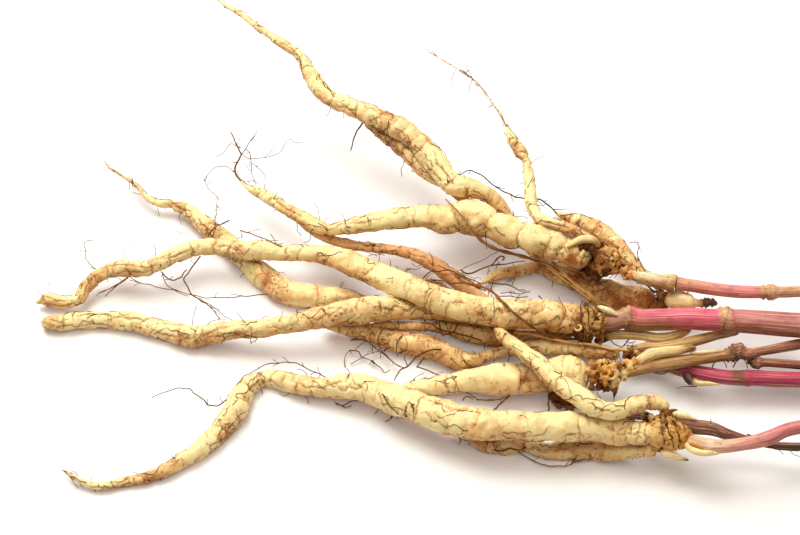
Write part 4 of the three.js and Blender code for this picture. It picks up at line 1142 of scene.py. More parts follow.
# Knobs that stand out of the crowns: mm of the middle, mm of the radius, and bark tone.
# Higher knobs mostly take paler tones and lower ones darker tones, which paints light and shade.
KNOBS = [
    # Knobs in the darkest tones that fill the corners behind the crowns: painted shade.
    (66.5, -20, 19, 2.2, 2), (66, -24.5, 17.5, 2.2, 2), (67.5, -28, 17, 1.8, 3),
    (65.5, -23, 14.5, 2.4, 1), (63, -21, 13.5, 2.2, 1), (92.6, -34.5, 8, 2.3, 6), (91, -37, 8, 2.3, 4),
    (86, -92, 13, 2.2, 0), (83.5, -91, 14, 2, 2), (88.5, -91, 13.5, 2.4, 1), (92, -90, 15.5, 2, 1),
    (60, -52.5, 15, 2.2, 0), (62.5, -53.5, 13, 2.2, 2), (64, -66, 14, 1.4, 10),
    (63.8, -68.5, 15.4, 1.3, 7), (64, -71, 15, 1.4, 12), (64.2, -73, 13.2, 1.3, 7),
    (64, -74.5, 10.6, 1.3, 5), (62.2, -70, 16, 1.1, 18), (62.5, -43.8, 20.4, 1.2, 1),
    (64.3, -52.3, 18.6, 1.2, 1), (67.3, -46, 20.8, 0.9, 2), (61, -21.3, 26.6, 1.3, 3),
    (63.5, -21, 27.2, 1.5, 1), (66, -21.6, 26.6, 1.6, 3), (88.6, -95.5, 21.2, 1.2, 1),
    (87.4, -98, 20.6, 1.2, 0), (87.6, -101, 18.5, 1.2, 1),
    # The bodies of the two ridged crowns.
    (63.5, -48.2, 16.4, 5.8, 16), (66.5, -48.2, 16.4, 5.2, 12), (87.5, -97.3, 16, 5.5, 18),
    (91, -98, 16, 5.9, 17), (94, -98.4, 16, 5, 13), (95.5, -98.8, 16, 4, 10),
    # Soil that clings under the fat root.
    (50, -74.5, 4, 2, 4), (54, -76, 3.5, 2.2, 3), (58, -76.5, 3.5, 2.1, 4), (62, -75.5, 4, 2, 3),
    (56, -78.5, 2.6, 1.6, 6), (51.5, -77, 2.4, 1.4, 6),
    # The upper crown.
    (67.5, -19, 23, 1.8, 3), (69.5, -18, 24, 2, 5), (71.5, -18, 24.5, 1.8, 10), (73.5, -19, 24, 2, 10),
    (68, -23, 24.5, 2.2, 3), (69.5, -23, 26, 1.8, 8), (71.5, -22.5, 26, 2, 16), (74, -22, 25, 1.8, 20),
    (68.5, -25.5, 24, 2, 5), (70, -25.5, 25, 1.8, 10), (72.5, -25, 25, 1.8, 21),
    (74.5, -24, 24.5, 2, 20), (67, -26, 20.5, 1.8, 4), (69, -27.5, 22, 2, 9), (71, -27, 23, 2.2, 5),
    (73, -26.5, 23.5, 1.8, 17), (75, -25, 22.5, 2, 13), (71, -28, 20, 1.8, 3), (73.5, -27, 21, 2.2, 11),
    (76, -25.5, 19.5, 2.2, 15), (78.5, -26.5, 19.5, 2, 17), (80.5, -28, 18.5, 2.2, 19),
    (77.5, -24, 21, 1.6, 17), (65, -23.5, 19.5, 1.6, 4), (66.5, -26.5, 17.5, 1.6, 3),
    # The middle crown.
    (66, -52, 19.5, 1.8, 16), (67.5, -49, 21, 1.6, 18), (68, -43.5, 20, 1.4, 4),
    (69, -52, 16.5, 1.6, 8), (66, -53.5, 16, 1.6, 5), (63.5, -53, 17, 1.5, 9), (68.5, -51, 20, 1.6, 16),
    # The lower crown.
    (65.5, -66.5, 13, 1.5, 17), (67.5, -66.5, 15, 1.6, 20), (69.5, -67, 16.5, 1.6, 21),
    (71.5, -69, 17, 1.6, 20), (65, -68.5, 11.5, 1.5, 13), (67, -69.5, 15, 1.5, 10),
    (69, -70, 16.5, 1.6, 15), (70.5, -71, 16.5, 1.5, 19), (66, -70.5, 11, 1.5, 13),
    (68, -72, 14.5, 1.6, 15), (69.5, -72.5, 15, 1.6, 20), (72, -73, 14.5, 1.7, 24),
    (67.5, -72, 9.5, 1.4, 9), (69, -73.5, 12.5, 1.5, 17), (71.5, -73.5, 12, 1.6, 23),
    (73, -73, 12.5, 1.5, 21), (72.5, -71, 16, 1.5, 23), (75.5, -69, 12.5, 2.4, 24),
    (74, -68, 15.5, 1.3, 9), (77, -66, 15, 1.5, 17), (78.5, -67, 14.5, 1.6, 23),
    (80, -66, 15.5, 1.4, 13), (78, -68.5, 13.5, 1.5, 16), (80, -68, 14, 1.5, 21),
    (66.5, -73.5, 9, 1.3, 6), (69, -74, 9, 1.4, 6), (71.5, -73.5, 9, 1.2, 6),
    # The ribbed crown.
    (80, -58.5, 12, 1.6, 7), (81.5, -59, 11.5, 1.6, 22), (84, -57, 11, 1.8, 14),
    (86, -56.5, 11.5, 1.6, 22), (82.5, -59, 9.5, 1.5, 1), (78, -59.5, 11.5, 1.5, 9),
    (80, -60.5, 11.5, 1.4, 3),
    # The bottom crown.
    (86.5, -92.5, 17.5, 1.6, 9), (88.5, -91.5, 18.5, 1.7, 4), (90, -91, 19, 1.8, 5),
    (92, -91.5, 19.5, 1.8, 3), (94, -92.5, 19, 1.8, 4), (91, -95, 21, 1.8, 13),
    (85.5, -101.5, 12, 1.4, 9), (87.5, -102, 12.5, 1.5, 2), (85, -93, 17, 1.5, 14),
    (84, -96, 15.5, 1.4, 18), (84.5, -99, 13.5, 1.4, 16),
    # The right crown.
    (92.5, -33, 11.5, 1.3, 12), (93.5, -36, 9, 1.2, 4),
]
# Ridges where old leaves stood: mm from and to along X, the crown's y and z, mm from one to the next,
# and lean.
RIDGES = [(60.5, 67, -48.2, 16.4, 2.2, 0.1), (87.3, 97.5, -97.8, 16, 2.9, 0.3)]
# Arms between crowns that lie under other roots: their ends, and how far they swing aside, in mm.
ARMS = [
    ((71.1, -22.7, 20.8), (94.6, -33.2, 9), (1.5, 4, 0)),
    ((65.4, -48.2, 16.4), (79.6, -58.7, 9.2), (-5, -3.5, 0)),
    ((70.6, -68.9, 12), (90.1, -96.2, 16), (-4.5, -3.5, 0)),
]
KNOB_LIMIT = 3               # mm of radius; what is wider is a crown's body, with no bumps of its own
BUMPS_A_KNOB = 7
ARM_REACH = 6                # mm from an arm's middle within which the bark moves with it
ARM_SUNK = 0.45              # share of its height that the bark of an arm loses
BARK_DRAWN_IN = 0.8          # mm that the bark is drawn in under the knobs
ARM_DRAWN_IN = 0.9           # mm more, away from the crowns
RIDGED_RADIUS = 8.5          # mm from a ridged crown's middle that its furrows reach
FURROW_WIDTH = 0.27          # mm
TONE_FALLOFF = 6             # how sharply the colour changes from one knob to the next


def bark_material():
    """Rootstock bark: dull and corky, nearly black with painted shade in the hollows between its knobs,
    and paler with painted light on its higher knobs.
    """
    material, tree, output = new_material("rootstock_bark")
    place = add_node(tree, "TexCoord").outputs["Object"]
    tint = add_node(tree, "Attribute", {"attribute_name": "tint"}).outputs["Color"]
    hollow = add_node(tree, "Attribute", {"attribute_name": "hollow"}).outputs["Fac"]
    patch = add_node(tree, "TexNoise", None, {
        "Vector": place, "Scale": 1 / (2.2 * MM), "Detail": 5.0, "Roughness": 0.7}).outputs["Fac"]
    uneven = add_node(tree, "ValToRGB", None, {"Fac": patch}, [
        (0.36, linear("#A8784A")), (0.46, (0.85, 0.78, 0.66)), (0.62, (1.0, 1.0, 0.95))]).outputs["Color"]
    worn = add_node(tree, "Mix", {"data_type": "RGBA", "blend_type": "MULTIPLY"}, {
        0: 1.0, 6: tint, 7: uneven}).outputs[2]
    # Painted shade: the deeper a point lies in a hollow, the nearer its colour comes to nearly black.
    depth = add_node(tree, "MapRange", {"interpolation_type": "SMOOTHSTEP"}, {
        "Value": hollow, "From Min": 0.02, "From Max": 0.15, "To Max": 0.95}).outputs["Result"]
    shade = add_node(tree, "Mix", {"data_type": "RGBA"}, {
        0: depth, 6: worn, 7: (*linear("#3E1E08"), 1)}).outputs[2]
    grit = add_node(tree, "TexNoise", None, {
        "Vector": place, "Scale": 1 / (0.5 * MM), "Detail": 3.0}).outputs["Fac"]
    bump = add_node(tree, "Bump", None, {
        "Height": grit, "Strength": 0.9, "Distance": 0.3 * MM}).outputs["Normal"]
    shader = add_node(tree, "BsdfPrincipled", None, {
        "Base Color": shade, "Normal": bump, "Roughness": 0.8, "Specular IOR Level": 0.15
        }).outputs["BSDF"]
    tree.links.new(shader, output.inputs["Surface"])
    return material


def copy_at(model, place, size):
    """A copy of the model with its own mesh, at a place in mm and scaled."""
    made = model.copy()
    made.data = model.data.copy()
    made.location = Vector(place) * MM
    made.scale = Vector(size)
    bpy.context.scene.collection.objects.link(made)
    return made


def add_knobs(rng):
    """The knobs, with small round bumps over the smaller ones."""
    bpy.ops.object.select_all(action="DESELECT")
    bpy.ops.mesh.primitive_ico_sphere_add(subdivisions=3, radius=MM, location=(0, 0, 0))
    ball = bpy.context.object
    made = []
    for *middle, radius, _ in KNOBS:
        if radius >= KNOB_LIMIT:
            made.append(copy_at(ball, middle, (radius,) * 3))
            continue
        made.append(copy_at(ball, middle, radius * rng.uniform(0.85, 1.15, 3)))
        for _ in range(BUMPS_A_KNOB):
            way = unit(rng.normal(size=3))
            size = radius * rng.uniform(0.2, 0.45) * rng.uniform(0.7, 1.3, 3)
            made.append(copy_at(ball, np.array(middle) + way * radius, size))
    bpy.data.objects.remove(ball)
    return made


def draw_in(bark):
    """Draws the bark in, so that the knobs stand proud, and lays the arms under the roots beside them."""
    places = places_of(bark)
    away = np.min([np.linalg.norm(places - crown[:3], axis=1) / crown[3] for crown in CROWNS], axis=0)
    far = np.clip((away - 1.0) / 0.4, 0, 1)
    inward = (BARK_DRAWN_IN + ARM_DRAWN_IN * far)[:, None] * vectors_of(bark, "normal")
    places = places - inward
    runs, gaps = [], []
    for start, end, _ in ARMS:
        way = np.subtract(end, start)
        run = np.clip((places - start) @ way / (way @ way), 0, 1)
        runs.append(run)
        gaps.append(np.linalg.norm(places - start - run[:, None] * way, axis=1))
    nearest = np.argmin(gaps, axis=0)
    for arm, (_, _, swing) in enumerate(ARMS):
        share = np.sin(math.pi * runs[arm]) ** 0.7 * far * (nearest == arm) * (gaps[arm] < ARM_REACH)
        places = places + share[:, None] * swing
    places[:, 2] *= 1 - ARM_SUNK * far
    move_to(bark, places)


def hollowness(piece, spread):
    """How far each vertex lies below its neighbours in mm, spread over a few rings of them."""
    edges = np.empty(len(piece.data.edges) * 2, dtype=int)
    piece.data.edges.foreach_get("vertices", edges)
    first, second = edges.reshape(-1, 2).T
    places = places_of(piece)
    count = np.bincount(np.concatenate([first, second]), minlength=len(places))[:, None]

    def mean_beside(values):
        total = np.zeros(values.shape)
        np.add.at(total, first, values[second])
        np.add.at(total, second, values[first])
        return total / count

    smooth = places
    for _ in range(spread):
        smooth = mean_beside(smooth)
    return ((smooth - places) * vectors_of(piece, "normal")).sum(axis=1)


def grain(places, size, seed):
    """Smooth noise over the bark, with lumps of a size in mm."""
    return smooth_noise(places / size + 40, seed)


class SKIRRET_OT_rootstock(bpy.types.Operator):
    """Grows lumps and knobs on the rootstock's crowns, fuses them and roughens the bark"""
    bl_idname = "skirret.rootstock"
    bl_label = "Rootstock"

    def execute(self, context):
        settings = context.scene.skirret_rootstock
        shape = merged_shape(frame["nodes"]["rootstock"])
        data = bpy.data.meshes.new("rootstock_bark")
        shape.to_mesh(data)
        shape.free()
        bark = add_object("rootstock_bark", data)
        draw_in(bark)
        knobs = add_knobs(np.random.default_rng(7))
        select_only(bark)
        for knob in knobs:
            knob.select_set(True)
        bpy.ops.object.join()
        bark = context.object
        modifier = bark.modifiers.new("fuse", "REMESH")
        modifier.mode = "VOXEL"
        modifier.voxel_size = settings.voxel
        bpy.ops.object.modifier_apply(modifier=modifier.name)
        modifier = bark.modifiers.new("soften", "SMOOTH")
        modifier.iterations = 2
        bpy.ops.object.modifier_apply(modifier=modifier.name)
        places = places_of(bark)
        rough = grain(places, 2.0, 41) + 0.6 * grain(places, 0.9, 42)
        furrow = self.furrows(places)
        height = settings.relief / MM * rough - 0.55 * furrow
        move_to(bark, places + vectors_of(bark, "normal") * height[:, None])
        store(bark, "hollow", hollowness(bark, spread=8))
        store(bark, "tint", self.tints(places, furrow))
        finish_piece(bark, bark_material(), "crown_bark", "rootstock")
        return {"FINISHED"}

    def furrows(self, places):
        """How deep each point lies in a furrow between two ridges, from 0 to 1."""
        furrow = np.zeros(len(places))
        bend = grain(places, 4.5, 43) + 0.4 * grain(places, 1.5, 44)
        broken = np.clip(0.5 + 1.6 * grain(places, 3, 45), 0, 1)
        for start, end, middle_y, middle_z, pitch, lean in RIDGES:
            run = places[:, 0] + lean * (places[:, 1] - middle_y) + 1.3 * bend
            offset = run - start - pitch * np.round((run - start) / pitch)
            around = np.hypot(places[:, 1] - middle_y, places[:, 2] - middle_z) < RIDGED_RADIUS
            near = around * np.clip((run - start + 0.5) * 2, 0, 1) * np.clip((end - run) * 2, 0, 1)
            furrow = np.maximum(furrow, near * broken * bell(offset, FURROW_WIDTH))
        return furrow

    def tints(self, places, furrow):
        """Each point's colour, from the knobs around it, darkened with painted shade in the furrow it
        lies in.
        """
        weights = np.full(len(places), 0.002)
        total = weights[:, None] * linear(SHADED_ARM_BARK)
        for *middle, radius, tone in KNOBS:
            away = np.linalg.norm((places - middle) / radius, axis=1)
            weight = np.exp(TONE_FALLOFF * (1 - away))
            weight = weight * (1 if radius < KNOB_LIMIT else 0.5)
            total += weight[:, None] * linear(BARK_TONES[tone])
            weights += weight
        tint = total / weights[:, None] * (1 - 0.65 * furrow[:, None])
        return np.column_stack([tint, np.ones(len(places))])


# ---------------------------------------------------------------- rootlets and hairs

DARK, BROWN, RED, TAN, PALE = "#4A2C14", "#63401F", "#7C4E28", "#96703E", "#C89C5E"
THREAD_GIRTH = 1.15          # thickness of a drawn thread, as a share of its table's
FINEST_THREAD = 0.24         # mm
KINK_STEP = 2.2              # mm from one kink of a thread to the next
# Each route: thickness in mm at its base and at its tip, then its points in mm.
ROOTLETS = {
    "rootlets_fork_tip": (BROWN, [
        (0.8, 0.6, (-72, 21, 13), (-74, 23.5, 13), (-75.5, 26.5, 13.5), (-74.5, 31, 14), (-73, 34, 15)),
        (0.6, 0.4, (-73, 34, 15), (-75.5, 39.5, 15.5), (-78, 45, 16)),
        (0.4, 0.2, (-73, 34, 15), (-70, 40, 15.5), (-68, 43.5, 16), (-67, 47, 16)),
        (0.4, 0.2, (-73.5, 37.5, 15), (-77, 40, 15), (-79, 39, 14.5), (-80, 36, 14), (-83.5, 34, 13.5)),
        (0.35, 0.2, (-71, 36.5, 15), (-69.5, 35.5, 15), (-69, 31, 14), (-68.5, 25, 13), (-66.5, 20, 13)),
        (0.35, 0.2, (-72.5, 34, 15), (-69.5, 31.5, 15), (-63.5, 33, 14), (-57.5, 35.5, 14),
         (-55, 41, 14.5), (-53, 43, 14.5), (-52, 41, 14), (-48, 41, 14)),
        (0.3, 0.2, (-68.5, 30, 14), (-65.5, 28, 13), (-63.5, 26, 12), (-62.5, 22.5, 12)),
        (0.3, 0.2, (-75.5, 26.5, 13), (-79, 29.5, 13), (-83.5, 29, 13), (-88, 23.5, 12),
         (-84.5, 17, 12), (-82, 14.5, 12), (-82, 8.5, 11.5), (-82.5, 1.5, 11), (-82.5, -4.5, 10)),
    ]),
    "rootlets_upper": (DARK, [
        (0.7, 0.4, (-23.5, 41.5, 26), (-26, 39, 24), (-27.5, 36, 22), (-28.5, 32, 20)),
        (0.4, 0.5, (10.5, 9, 29), (14.5, 12.5, 29), (19.5, 15.5, 28.5), (24, 15, 26), (29.5, 12, 22),
         (35.5, 11.5, 18), (41.5, 11.5, 15), (48, 12, 14), (51.5, 10, 12.5), (54.5, 7, 11)),
        (0.25, 0.2, (13.5, -22, 12), (17, -21, 13), (25, -17, 13), (31, -12.5, 13)),
        (0.35, 0.25, (81.5, -12, 17), (84, -11.5, 18), (85.5, -14, 18), (84.5, -16.5, 17.5),
         (85.5, -21, 17), (87, -26.5, 17)),
    ]),
    "rootlets_left": (BROWN, [
        (0.4, 0.3, (-60, -30, 8), (-67, -30.5, 7), (-75, -30.5, 6.5), (-85, -30.5, 6), (-95, -27.5, 6),
         (-102.5, -26.5, 7), (-110.5, -25, 8.5), (-115, -23, 10)),
        (0.6, 0.3, (-115, -23.5, 10), (-118.5, -25, 8), (-121.5, -27.5, 7), (-124, -30, 6)),
        (0.5, 0.3, (-115.5, -24, 10), (-119.5, -26, 8.5), (-123, -28, 8), (-126.5, -29, 7.5)),
        (0.6, 0.3, (-87, -14.5, 12), (-91, -18.5, 9), (-93.5, -23.5, 8), (-90.5, -29, 7),
         (-82.5, -35, 6), (-78.5, -39.5, 5)),
        (0.5, 0.4, (-102, -21.5, 11), (-100, -23.5, 9.5), (-97, -24.5, 9), (-94, -22.5, 8.5),
         (-92.5, -19, 9)),
        (0.3, 0.25, (-87, -30.5, 6), (-81, -35, 6), (-75, -40.5, 6.5), (-70, -45.5, 7.5)),
        (0.3, 0.25, (-101.5, -22.5, 11), (-100, -26.5, 9), (-96, -28, 7), (-91.5, -29.5, 6)),
        (0.5, 0.3, (-71.5, -5, 16), (-65.5, -7.5, 16), (-59.5, -10, 15.5), (-55, -12, 15)),
        (0.3, 0.2, (-59.5, -7.5, 17), (-57, -11.5, 16)),
        (0.5, 0.4, (-85, -3, 9), (-82.5, 0, 11), (-79.5, 1, 12), (-76.5, 3, 12)),
        (0.4, 0.3, (-83.5, -3.5, 9), (-82, -1.5, 11), (-82, 2, 12)),
        (0.3, 0.25, (-127.5, -19, 9), (-130.5, -17, 9), (-133, -14, 10), (-132.5, -11, 10),
         (-134, -8.5, 11), (-133, -7, 12), (-130, -6.5, 12)),
    ]),
    "rootlets_bottom": (DARK, [
        (0.4, 0.3, (-36.5, -69.5, 10), (-42, -66, 9), (-46.5, -62.5, 8), (-52.5, -60.5, 7),
         (-59, -61.5, 7), (-63.5, -64.5, 7), (-68, -67, 7), (-70, -70.5, 7), (-71.5, -73, 6)),
        (0.5, 0.25, (-70.5, -71, 6), (-73.5, -75, 4), (-77.5, -77.5, 2), (-81.5, -76.5, 1.5),
         (-85.5, -72, 1.5), (-88.5, -69.5, 2), (-93, -69, 2), (-98, -71, 1.5), (-103, -73, 1)),
        (0.4, 0.25, (-14, -75.5, 6), (-12, -78.5, 4), (-11, -82, 2), (-14, -83.5, 1)),
        (0.4, 0.25, (-16.5, -75, 6), (-16, -79, 3), (-18, -80.5, 1)),
    ]),
    "rootlets_middle": (BROWN, [
        (0.5, 0.3, (-13.5, -48.5, 14), (-15.5, -50.5, 13), (-17, -52.5, 10), (-16, -55, 7),
         (-13.5, -56.5, 5), (-10.5, -59.5, 4), (-7, -61.5, 4)),
        (0.5, 0.3, (-7.5, -50, 9), (-9.5, -53, 9), (-10, -55.5, 8), (-9, -57, 5)),
        (0.5, 0.3, (-27.5, -49.5, 5), (-21, -50, 5), (-17, -53.5, 4), (-14.5, -55.5, 4),
         (-10.5, -59, 3), (-8, -60.5, 3)),
        (0.5, 0.3, (-28, -53, 3), (-24, -53.5, 3), (-23.5, -55.5, 2.5), (-19.5, -57, 2.5),
         (-18.5, -58.5, 2)),
        (0.3, 0.2, (-29.5, -59.5, 1), (-30, -55.5, 1.5), (-29, -53, 2), (-27, -52.5, 2.5)),
        (0.3, 0.2, (-27.5, -58, 1), (-23, -55.5, 2), (-17.5, -53.5, 3), (-14.5, -54.5, 4)),
        (0.45, 0.3, (-19, -57, 2), (-16, -60, 2), (-14, -63, 2), (-12, -61, 2)),
        (0.7, 0.4, (7.5, -57, 10), (5.5, -57, 10), (1, -57.5, 9), (-2, -58.5, 7), (-5.5, -61.5, 5),
         (-8.5, -63.5, 5), (-10.5, -69.5, 8)),
        (0.6, 0.4, (1, -57.5, 5), (-2, -61, 4)),
        (0.5, 0.3, (-2, -61, 4), (3, -63, 4), (7, -65.5, 5), (11.5, -67.5, 6)),
        (0.6, 0.4, (16, -61, 9), (18, -64, 9), (15, -67.5, 9), (9.5, -69, 8), (5.5, -68.5, 6)),
        (0.5, 0.3, (4, -66, 5), (9.5, -70.5, 7), (15, -72, 5), (21.5, -75, 3)),
        (0.7, 0.4, (-14.5, -54.5, 5), (-13.5, -54, 6), (-12, -54, 7)),
        (0.7, 0.4, (-8.5, -55.5, 5), (-6, -55.5, 7)),
        (0.35, 0.25, (-21.5, -50.5, 6), (-24, -52, 5), (-25.5, -53, 4)),
        (0.35, 0.25, (-5.5, -60.5, 4), (-7, -57.5, 5), (-5, -56, 6)),
        (0.6, 0.5, (-0.5, -48.5, 16), (3.5, -48.5, 15), (7, -49.5, 12), (11, -49, 10), (14.5, -49.5, 9),
         (18.5, -50.5, 9), (23, -52, 8)),
        (0.6, 0.4, (6.5, -47.5, 15), (8, -49.5, 9)),
        (0.6, 0.4, (14, -47.5, 14), (13, -49, 11), (10, -50, 10), (8, -50, 9)),
        (0.4, 0.3, (71.5, -51, 9), (74, -53.5, 8), (77, -55, 8), (78.5, -53.5, 9), (79.5, -52, 10)),
    ]),
    "rootlets_fork": (BROWN, [
        (0.7, 0.4, (15.5, -22.5, 14), (16.5, -24, 13.5), (19.5, -24, 13), (21, -23, 13),
         (23, -21.5, 13), (27.5, -20, 13), (29, -18.5, 14), (29.5, -17.5, 15)),
        (0.6, 0.5, (29, -18.5, 14), (30.5, -17, 15), (32, -17, 15.5), (32.5, -18, 15),
         (31.5, -18.5, 14.5)),
        (0.5, 0.3, (27.5, -20, 13), (33.5, -18.5, 12), (37.5, -17.5, 12), (41, -16.5, 11)),
        (0.5, 0.4, (34, -22, 3), (29, -21.5, 3), (26.5, -22, 4)),
        (0.5, 0.3, (34, -22, 3), (38.5, -24.5, 3), (41, -26, 3)),
        (0.35, 0.25, (28.5, -21.5, 6), (28, -24, 5), (26, -28, 5), (26.5, -31, 6)),
        (0.4, 0.3, (31, -29, 5), (34.5, -29, 5), (38.5, -29.5, 5), (42, -29, 5)),
        (0.35, 0.25, (31, -27.5, 5), (34.5, -27, 5), (37, -28, 5), (41, -27.5, 5), (43, -26.5, 5)),
        (0.35, 0.2, (40, -25, 4), (41, -26.5, 4.5)),
        (0.6, 0.4, (46, -29.5, 6), (47.5, -31, 6)),
        (0.35, 0.25, (36, -21.5, 2), (37.5, -19.5, 4)),
        (0.35, 0.25, (35, -20, 2), (37, -19.5, 4)),
    ]),
    "rootlets_tan": (RED, [
        (0.6, 0.4, (0, -26.5, 12), (1.5, -24, 12), (4, -22.5, 13), (8, -23, 14), (11, -23, 14),
         (13, -23.5, 13.5), (17, -25.5, 13), (21, -26.5, 12), (23.5, -27.5, 11)),
        (0.7, 0.5, (1.5, -29.5, 17), (4.5, -31, 17), (7.5, -33, 18), (11, -35.5, 18)),
        (0.5, 0.4, (3.5, -28, 15), (10, -29, 15), (17.5, -31.5, 17), (22.5, -34.5, 19)),
        (0.6, 0.4, (3.5, -27, 14), (7, -29.5, 15), (11.5, -34.5, 18)),
        (0.5, 0.4, (13, -24, 13), (16, -28, 14), (19.5, -31.5, 16), (24.5, -36.5, 20)),
    ]),
    "rootlets_between": (BROWN, [
        (0.45, 0.3, (15.5, -75.5, 3), (16, -74.5, 4), (18, -74, 4), (19.5, -75, 3)),
        (0.5, 0.3, (20.5, -75, 3), (26, -75.5, 3), (29.5, -75, 3), (32.5, -74, 3)),
        (0.6, 0.5, (26.5, -85, 12), (30.5, -79, 8), (33.5, -74, 5), (36.5, -71.5, 5)),
        (0.6, 0.5, (48.5, -69.5, 4), (48, -74.5, 5), (47.5, -80, 8), (47, -86, 13)),
        (0.5, 0.4, (50.5, -78, 5), (53.5, -81, 7), (57.5, -82, 9)),
        (0.6, 0.4, (54.5, -79.5, 10), (59.5, -77, 10), (63.5, -74.5, 10), (67.5, -73, 11)),
        (0.5, 0.4, (6.5, -91.5, 8), (10, -91.5, 8), (13.5, -93.5, 7), (16.5, -94, 5)),
        (0.5, 0.3, (13.5, -93.5, 7), (15, -94, 5), (13.5, -94.5, 3)),
        (0.5, 0.3, (19, -93, 6), (20, -94, 4), (21.5, -93.5, 4), (21, -95.5, 3)),
        (0.6, 0.4, (25, -95.5, 5), (26.5, -97, 3), (29, -98, 4), (32, -97, 5), (36, -98.5, 5),
         (38.5, -97.5, 6)),
        (0.45, 0.3, (-33, -75.5, 1.5), (-30.5, -77, 1.5), (-27.5, -76, 3), (-21, -76.5, 5)),
        (0.4, 0.3, (-30.5, -77, 1.5), (-29, -78, 1), (-26.5, -77, 2)),
        (0.5, 0.35, (-16, -76, 14), (-14.5, -81, 15.5), (-12, -85.5, 15), (-9.5, -86.5, 13),
         (-8, -87, 10)),
        (0.5, 0.3, (-11.5, -84.5, 8), (-12, -84.5, 4), (-13.5, -84.5, 3)),
        (0.5, 0.3, (-8, -87, 10), (-5, -87, 9), (-2.5, -88, 8)),
        (0.7, 0.4, (-4, -86, 17.5), (-3, -87.5, 17.5), (-3.5, -89, 17)),
        (0.4, 0.3, (-5, -85, 17.5), (-3, -86.5, 18)),
    ]),
    "rootlets_right": (DARK, [
        (0.4, 0.3, (85, -27, 13), (89, -30, 12.5), (92.5, -32, 12), (95, -34, 12)),
        (0.4, 0.3, (98, -32.5, 14), (100.5, -32.5, 14), (102, -34.5, 13), (101.5, -36, 12)),
        (0.35, 0.3, (99.5, -31.5, 15), (103.5, -33, 14), (103, -36, 13)),
        (0.4, 0.3, (109.5, -67, 13), (110.5, -65, 14), (112.5, -64, 14.5), (115, -65.5, 14),
         (115, -67.5, 13)),
        (0.4, 0.3, (117.5, -67, 13), (118.5, -64.5, 14), (120.5, -63, 14.5), (122.5, -65, 14),
         (123, -67.5, 13)),
        (0.4, 0.3, (123, -63.5, 15), (123.5, -66, 14), (125.5, -67.5, 13), (127.5, -67.5, 13)),
        (0.5, 0.3, (118, -100.5, 21), (121, -104, 22.5), (125.5, -105, 20), (130, -103.5, 15),
         (134.5, -103, 13), (138.5, -102.5, 12)),
        (0.3, 0.2, (105.5, -95.5, 20), (105, -95, 23)),
        (0.4, 0.2, (104.5, -70.5, 5), (102, -70.5, 5), (99.5, -69.5, 4), (97, -70.5, 4)),
    ]),
    "rootlets_red": (RED, [
        (0.5, 0.3, (29, -93, 4), (32.5, -95.5, 3), (38, -99, 2), (45.5, -102.5, 1.2), (53, -103, 1.5),
         (59.5, -101, 3), (65, -98.5, 5)),
    ]),
    "crown_strings": (BROWN, [
        (0.5, 0.4, (61.5, -41, 19.5), (60.5, -45, 22.1), (60.1, -48.1, 22.7), (60.6, -53.7, 21.2),
         (63.5, -56.2, 18.5)),
        (0.5, 0.35, (65, -41.1, 20), (63.2, -44.5, 22.6), (62.7, -48.4, 23.2), (62.9, -53.6, 22),
         (65, -55.5, 19.5)),
        (0.4, 0.3, (66, -20.5, 25.5), (69, -23.5, 26.8), (71.8, -26.9, 25.4)),
        (0.35, 0.3, (70, -16.5, 25), (72, -20, 26.6), (71.5, -23.5, 26.6), (73, -27, 25)),
        (0.35, 0.3, (67, -17.5, 25), (70.5, -21.5, 27), (74, -24, 26), (77, -26, 23)),
    ]),
    "strings_upper": (TAN, [
        (0.9, 0.6, (49.2, -23.9, 17), (55.4, -30.7, 18), (61.6, -37.5, 19), (65.1, -41.4, 20)),
        (0.8, 0.6, (50.9, -21, 17), (59.2, -32.6, 18), (68.1, -41.4, 20), (73.6, -46, 20)),
        (0.6, 0.4, (46, -20.5, 17), (52, -25.5, 17.6), (57.5, -31, 18), (62, -36.5, 18.6)),
    ]),
    "rootlets_pale": (PALE, [
        (1.1, 0.9, (79, -59.5, 13), (71, -58, 12.5), (62, -56, 12.5), (52.5, -54.5, 12.5),
         (43.5, -52, 12), (35.5, -50, 12)),
        (0.25, 0.15, (-118.5, -15.5, 10), (-116.5, -9.5, 11), (-111.5, -4.5, 12), (-104.5, -2, 13),
         (-98, -3.5, 14), (-91.5, -7, 15)),
    ]),
}


def rootlet_material(name, hex_colour):
    """Dry rootlet: a wiry, matt brown thread, a little paler in patches of 3 mm."""
    material, tree, output = new_material(name)
    place = add_node(tree, "TexCoord").outputs["Object"]
    patch = add_node(tree, "TexNoise", None, {
        "Vector": place, "Scale": 1 / (3 * MM)}).outputs["Fac"]
    dark = linear(hex_colour)
    pale = tuple(min(1.0, 1.5 * band) for band in dark)
    shade = add_node(tree, "ValToRGB", None, {"Fac": patch}, [
        (0.4, dark), (0.65, pale)]).outputs["Color"]
    shader = add_node(tree, "BsdfPrincipled", None, {
        "Base Color": shade, "Roughness": 0.9, "Specular IOR Level": 0.1}).outputs[0]
    tree.links.new(shader, output.inputs["Surface"])
    return material


def crooked(rng, thread):
    """The same thread with its long stretches broken into short, slightly crooked ones."""
    base, tip, *points = thread
    path = [np.array(points[0])]
    for start, end in zip(points[:-1], points[1:]):
        step = np.subtract(end, start)
        pieces = max(1, round(np.linalg.norm(step) / KINK_STEP))
        for i in range(1, pieces + 1):
            sway = rng.normal(size=3) * (0.22 if i < pieces else 0.1)
            path.append(np.array(start) + step * i / pieces + sway)
    return (base, tip, *path)


